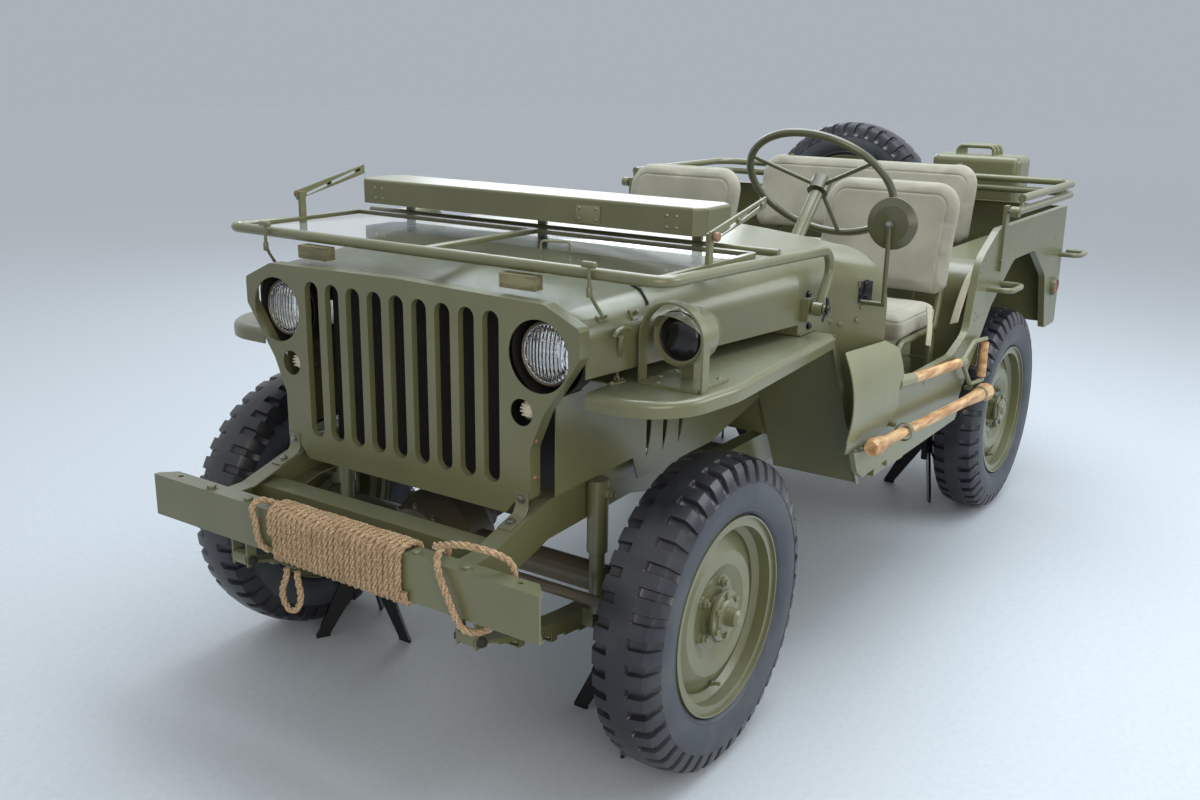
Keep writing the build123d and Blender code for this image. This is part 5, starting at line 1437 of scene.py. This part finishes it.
class CAR_OT_windscreen(bpy.types.Operator):
    """Fits the pivots, knobs, rivets and handle of the folding windscreen"""

    bl_idname = "car.windscreen"
    bl_label = "Windscreen fittings"

    def execute(self, context):
        face_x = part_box("windscreen_rack")[1].x - FRONT_X
        cover = bar(at(face_x - 0.001, 0.160, 1.160), at(face_x + 0.004, 0.228, 1.202), 0.0012)
        deliver(cover, "rack_clamp_plate", "tool", "windscreen")
        rivet_y = (0.408, 0.433, -0.468, -0.493, 0.170, 0.218)
        heads = [at(face_x + (0.004 if 0 < y < 0.3 else 0), y, z) for y in rivet_y for z in (1.170, 1.196)]
        deliver(rivets(heads, FORWARD, 0.004, 0.0022), "rack_rivets", "steel", "windscreen")
        for side, word in SIDES:
            self.arm(side, word)
            self.pivot(side, word)
        route = ((0.078, 0.228, 1.126), (0.078, 0.228, 1.148), (0.050, 0.286, 1.148), (0.050, 0.286, 1.126))
        loop = tube([at(*place) for place in route], 0.0028, 0.008)
        deliver(loop, "windscreen_hand_loop", "olive", "windscreen")
        return {"FINISHED"}

    def arm(self, side, word):
        """The knob and the bolts on the outside of an arm."""
        out = Vector((0, side, 0))
        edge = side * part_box("windscreen_inner_frame")[1].y
        section = [
            (-0.004, 0), (-0.004, 0.004), (0.003, 0.004), (0.004, 0.0095), (0.009, 0.0105), (0.013, 0.0085),
            (0.0145, 0.0),
        ]
        knob = turned(section, at(0.004, edge, 1.184), out, steps=24)
        deliver(knob, f"{word}_arm_knob", "copper", "windscreen")
        heads = [at(x, edge, z) for x, z in ((-0.100, 1.206), (-0.205, 1.230))]
        deliver(bolts(heads, out, *SMALL_BOLT), f"{word}_arm_bolts", "olive", "windscreen")

    def pivot(self, side, word):
        """The wing nut of a pivot and the bolts of its bracket."""
        out = Vector((0, side, 0))
        centre = at(-0.505, side * (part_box("windscreen_frame")[1].y - 0.002), 0.955)
        hub = rod(centre, centre + 0.018 * out, 0.0105, sides=20, edge=0.002)
        outline = [
            (-0.030, 0.010), (-0.026, 0.016), (-0.010, 0.007), (0.010, 0.007), (0.026, 0.016), (0.030, 0.010),
            (0.012, -0.006), (-0.012, -0.006),
        ]
        ears = plate(outline, 0.0045, centre + 0.012 * out, (0.35, 0, -0.94), (0.94, 0, 0.35))
        deliver(joined([hub, ears]), f"{word}_pivot_wing_nut", "black", "windscreen")
        slope = (0.08, side, 0)
        foot = [seated("cowl", at(x, side * 0.593, z), slope) for x, z in ((-0.520, 0.984), (-0.530, 0.905))]
        deliver(bolts(foot, slope, *BODY_BOLT), f"{word}_pivot_bracket_bolts", "black")


# The bolts at the cowl's left rear corner, from the front axle, the middle and the floor.
COWL_BOLTS = ((-0.699, 0.652, 0.899), (-0.664, 0.621, 0.890), (-0.708, 0.659, 0.932), (-0.640, 0.603, 0.900))
# The rivets on a body side, from the front axle and the floor.
SIDE_RIVETS = (
    (-1.556, 0.950), (-1.580, 0.950), (-1.546, 0.915), (-1.530, 0.767), (-1.530, 0.790), (-1.556, 0.775),
    (-1.470, 0.705), (-1.440, 0.705), (-1.626, 0.882), (-1.722, 0.930), (-1.722, 0.900), (-1.300, 0.660),
    (-1.100, 0.655), (-0.900, 0.655), (-2.420, 0.930), (-2.420, 0.960), (-2.440, 0.890),
)
# The dials: distance to the left, height and radius.
DIALS = (
    (0.0, 0.995, 0.044), (-0.085, 1.020, 0.026), (-0.085, 0.962, 0.026), (0.085, 1.020, 0.026),
    (0.085, 0.962, 0.026),
)


class CAR_OT_body_fittings(bpy.types.Operator):
    """Fits the rivets, bolts, dials, mirror clamps and reflectors of the body"""

    bl_idname = "car.body_fittings"
    bl_label = "Body fittings"

    def execute(self, context):
        for side, word in SIDES:
            slope = (0.66, side * 0.75, 0)
            heads = [seated("cowl", at(x, side * y, z), slope) for x, y, z in COWL_BOLTS]
            deliver(bolts(heads, slope, *SMALL_BOLT), f"{word}_cowl_bolts", "olive")
            node, out = f"{word}_body_side", (0, side, 0)
            heads = [seated(node, at(x, side * BODY_SIDE_Y, z), out) for x, z in SIDE_RIVETS]
            deliver(rivets(heads, out, 0.0055, 0.0028), f"{word}_side_rivets", "olive")
            self.reflector(side, word)
        self.mirror()
        self.gauges()
        return {"FINISHED"}

    def gauges(self):
        """Blank dials in their rims on the rear face of the cowl."""
        rims, faces = [], []
        for y, z, radius in DIALS:
            centre = seated("cowl", at(-0.76, y, z), BACK, 0.001)
            section = [
                (0, radius * 0.8), (0.004, radius), (0.009, radius), (0.011, radius * 0.93),
                (0.008, radius * 0.86), (0, radius * 0.8),
            ]
            rims.append(turned(section, centre, BACK, steps=36))
            section = [(0.0055, 0), (0.0055, radius * 0.87), (0.001, radius * 0.87), (0.001, 0)]
            faces.append(turned(section, centre, BACK, steps=36))
            low, high = Vector((-0.0072, -0.0012, 0)), Vector((-0.0054, 0.0012, radius * 0.7))
            faces.append(bar(centre + low, centre + high, 0.0004))
        deliver(joined(rims), "gauge_rims", "olive", angle=50)
        deliver(joined(faces), "gauge_faces", "black")

    def reflector(self, side, word):
        """A red reflector in its cup."""
        out = (0, side, 0)
        centre = seated(f"{word}_body_side", at(-2.462, side * BODY_SIDE_Y, 0.742), out, 0.001)
        section = [
            (0, 0), (0, 0.0330), (0.006, 0.0340), (0.016, 0.0325), (0.0175, 0.0300), (0.0150, 0.0270),
            (0.011, 0.0265), (0.011, 0),
        ]
        deliver(turned(section, centre, out, steps=40), f"{word}_reflector_cup", "olive")
        section = [*dome(0.0115, 0.004, 0.0264), (0.0105, 0.0264), (0.0105, 0)]
        deliver(turned(section, centre, out, steps=40), f"{word}_reflector", "red")

    def mirror(self):
        """The nut on the mirror's back, and the hinge leaf at the foot of its arm."""
        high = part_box("driving_mirror")[1]
        centre = Vector((high.x - 0.004, high.y - 0.064, high.z - 0.064))
        head = bolts([centre], FORWARD, 0.0075, 0.011, 0.010)
        stud = rod(centre, centre + Vector((0.016, 0, 0)), 0.0035, sides=12, edge=0.001)
        deliver(joined([head, stud]), "mirror_nut", "steel")
        slanted = Vector((0.66, 0.75, 0)).normalized()
        hinge = [seated("cowl", at(-0.716, 0.663, z), slanted, 0) for z in (0.992, 0.950)]
        leaf = bar((-0.022, -0.028, 0), (0.016, 0.028, 0.004), 0.001)
        stood(leaf, (hinge[0] + hinge[1]) / 2, slanted)
        heads = bolts([p + 0.003 * slanted for p in hinge], slanted, 0.0075, 0.007, 0.010)
        deliver(joined([leaf, heads]), "mirror_hinge_leaf", "black")


class CAR_OT_axle_fittings(bpy.types.Operator):
    """Fits the bolts of the axles' covers and the damper pins"""

    bl_idname = "car.axle_fittings"
    bl_label = "Axle fittings"

    def execute(self, context):
        axles = (("front_axle", 0.0, 1, 0.612), ("rear_axle", REAR_AHEAD, -1, 0.562))
        for node, x, way, damper_top in axles:
            out = (way, 0, 0)
            ringed = []
            for angle in [math.tau * (i + 0.5) / 10 for i in range(10)]:
                y, z = -0.140 + 0.098 * math.cos(angle), AXLE_Z + 0.098 * math.sin(angle)
                ringed.append(seated(node, at(x + way * 0.10, y, z), out))
            deliver(bolts(ringed, out, 0.0085, 0.007, 0.011), f"{node}_cover_bolts", "brown")
            pins = []
            for side, _ in SIDES:
                out = Vector((0, side, 0))
                for high in (0.306, damper_top):
                    eye = at(x + 0.090, side * 0.396, high)
                    pins.append(rod(eye + 0.016 * out, eye + 0.036 * out, 0.0125, sides=18, edge=0.0015))
                    pins.append(rod(eye + 0.035 * out, eye + 0.043 * out, 0.0105, sides=6, edge=0.001))
            deliver(joined(pins), f"{node}_damper_pins", "olive")
        return {"FINISHED"}


class CAR_OT_tail(bpy.types.Operator):
    """Fits the tail lamps and the fuel can's strap"""

    bl_idname = "car.tail"
    bl_label = "Tail fittings"

    def execute(self, context):
        for side, word in SIDES:
            centre = seated("tail_panel", at(-2.60, side * 0.620, 0.705), BACK, 0.001)
            section = [
                (0, 0), (0, 0.034), (0.022, 0.036), (0.034, 0.036), (0.036, 0.033), (0.032, 0.0315),
                (0.032, 0),
            ]
            deliver(turned(section, centre, BACK, steps=40), f"{word}_tail_lamp", "olive")
            section = [*dome(0.0325, 0.006, 0.031), (0.0315, 0.031), (0.0315, 0)]
            deliver(turned(section, centre, BACK, steps=40), f"{word}_tail_lens", "red")
        self.can_strap()
        return {"FINISHED"}

    def can_strap(self):
        """A webbing strap across the can's rear face, with its buckle."""
        low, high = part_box("fuel_can")
        middle_y = (low.y + high.y) / 2
        z = low.z + 0.62 * (high.z - low.z)
        x = seated("fuel_can", (low.x, middle_y, z), BACK, 0).x
        half = (high.y - low.y) / 2 - 0.004
        route = [(x - 0.003, middle_y + share * half, z) for share in (-0.94, -0.5, 0.5, 0.94)]
        buckle = bar((x - 0.010, middle_y - 0.024, z - 0.022), (x - 0.004, middle_y + 0.024, z + 0.022))
        deliver(strip(route, 0.032, 0.003, UP), "can_strap", "webbing")
        deliver(buckle, "can_buckle", "steel")


# The pick's shaft from end to end, on the left body side.
SHAFT_FRONT = at(-0.600, 0.753, 0.600)
SHAFT_REAR = at(-1.566, 0.753, 0.538)


class CAR_OT_straps(bpy.types.Operator):
    """Fits the clips of the hand tools and the webbing straps"""

    bl_idname = "car.straps"
    bl_label = "Clips and straps"

    def execute(self, context):
        for name, share in (("front", 0.245), ("rear", 0.93)):
            self.clip(SHAFT_FRONT.lerp(SHAFT_REAR, share), f"pick_{name}_clip")
        drop = [
            (-1.296, 0.6335, 0.838), (-1.306, 0.6350, 0.812), (-1.318, 0.6350, 0.775),
            (-1.326, 0.6330, 0.735), (-1.330, 0.6310, 0.712),
        ]
        self.webbing("cushion_flap", drop, 0.046, (0.97, 0, 0.24), "driver_seat_pads")
        belt = [
            (-1.588, 0.672, 0.915), (-1.566, 0.668, 0.905), (-1.540, 0.664, 0.872), (-1.512, 0.660, 0.826),
            (-1.496, 0.657, 0.790), (-1.486, 0.654, 0.758),
        ]
        self.webbing("door_strap", belt, 0.042, (0.60, 0.72, 0.34), "left_body_side")
        return {"FINISHED"}

    def clip(self, centre, name):
        """A spring clip round a tool's shaft, with its foot at the body side."""
        wall = BODY_SIDE_Y + 0.0005
        radius = 0.0235
        along = (SHAFT_REAR - SHAFT_FRONT).normalized()
        side = Vector((0, 1, 0))
        up = along.cross(side).normalized()
        angles = [math.radians(200 - 20 * i) for i in range(21)]
        arc = [centre + radius * (math.cos(a) * side + math.sin(a) * up) for a in angles]
        arc = [p for p in arc if p.y > wall + 0.004]
        deliver(strip(arc, 0.018, 0.0022, along), name, "olive")
        foot = Vector((centre.x, wall, centre.z + radius + 0.006))
        block = bar(foot + Vector((-0.010, -0.001, -0.020)), foot + Vector((0.010, 0.022, -0.008)))
        deliver(block, f"{name}_foot", "olive")

    def webbing(self, name, points, width, across, rests):
        line = even_steps(route_line([at(*p) for p in points]), 0.006)
        piece = strip(line, width, 0.0026, across)
        deliver(piece, name, "webbing", angle=40)
        path_length(line)


# Finishes of the pieces that keep their own shape.
NODE_FINISHES = {
    "olive": (
        "front_bumper", "grille", "lamp_bodies", "hood", "cowl", "body_floor", "left_body_side",
        "right_body_side", "tail_panel", "left_front_fender", "right_front_fender", "fuel_tank",
        "driver_controls", "driver_seat_frame", "passenger_seat_frame", "rear_seat_frame", "spare_wheel",
        "fuel_can", "blackout_lamp",
        "front_left_wheel", "front_right_wheel", "rear_left_wheel", "rear_right_wheel",
        "windscreen_frame", "windscreen_inner_frame", "windscreen_rack", "top_bows", "frame",
        "springs_and_dampers", "left_steering_knuckle", "right_steering_knuckle",
    ),
    "brown": ("front_axle", "rear_axle", "tie_rod"),
    # The mirror and the steering wheel get the olive darkened as painted shade.
    "shade_olive": ("driving_mirror", "steering_wheel"),
    "iron": ("engine_and_gearbox", "propeller_shafts", "exhaust"),
    "core": ("radiator",),
    "rubber": ("front_left_tyre", "front_right_tyre", "rear_left_tyre", "rear_right_tyre", "spare_tyre"),
    "canvas": ("driver_seat_pads", "passenger_seat_pads", "rear_seat_pads"),
    "lens": ("lamp_lenses",),
    "glass": ("windscreen_glass",),
    "tool": ("tool_heads",),
    "ash": ("tool_shafts",),
    "block": ("hood_blocks",),
    "black": ("axle_stands",),
    "rope": ("rope_winding", "rope_start", "rope_bight", "rope_end"),
}


class CAR_OT_finishes(bpy.types.Operator):
    """Paints every piece of the frame that keeps its own shape"""

    bl_idname = "car.finishes"
    bl_label = "Paint and finishes"

    def execute(self, context):
        for finish, names in NODE_FINISHES.items():
            for name in names:
                mesh = NODES[name].data
                mesh.materials.clear()
                mesh.materials.append(finish_of(finish))
        left = set(NODES) - {name for names in NODE_FINISHES.values() for name in names}
        if left:
            raise RuntimeError(f"no finish for {sorted(left)}")
        return {"FINISHED"}


class CAR_PT_panel(bpy.types.Panel):
    """Lists the steps and the settings in the sidebar"""

    bl_label = "Army 4x4 car"
    bl_idname = "CAR_PT_panel"
    bl_space_type = "VIEW_3D"
    bl_region_type = "UI"
    bl_category = "Car"

    def draw(self, context):
        for name in SETTINGS:
            settings = getattr(context.scene, name)
            for key in settings.__annotations__:
                self.layout.prop(settings, key)
        for step in STEPS:
            self.layout.operator(step.bl_idname)


SETTINGS = {
    "car_paint": PaintSettings, "car_tyre": TyreSettings, "car_rope": RopeSettings,
    "car_stage": StageSettings,
}
STEPS = (
    CAR_OT_stage, CAR_OT_rope, CAR_OT_finishes, CAR_OT_tyres, CAR_OT_hubs, CAR_OT_lamps, CAR_OT_nose,
    CAR_OT_windscreen, CAR_OT_body_fittings, CAR_OT_axle_fittings, CAR_OT_tail, CAR_OT_straps, CAR_OT_seats,
)


def register():
    for kind in (*SETTINGS.values(), *STEPS, CAR_PT_panel):
        bpy.utils.register_class(kind)
    for name, kind in SETTINGS.items():
        setattr(bpy.types.Scene, name, PointerProperty(type=kind))


def unregister():
    for name in SETTINGS:
        delattr(bpy.types.Scene, name)
    for kind in (CAR_PT_panel, *reversed(STEPS), *reversed(SETTINGS.values())):
        bpy.utils.unregister_class(kind)


def main():
    register()
    for step in STEPS:
        group, name = step.bl_idname.split(".")
        getattr(getattr(bpy.ops, group), name)()


if __name__ == "__main__":
    main()
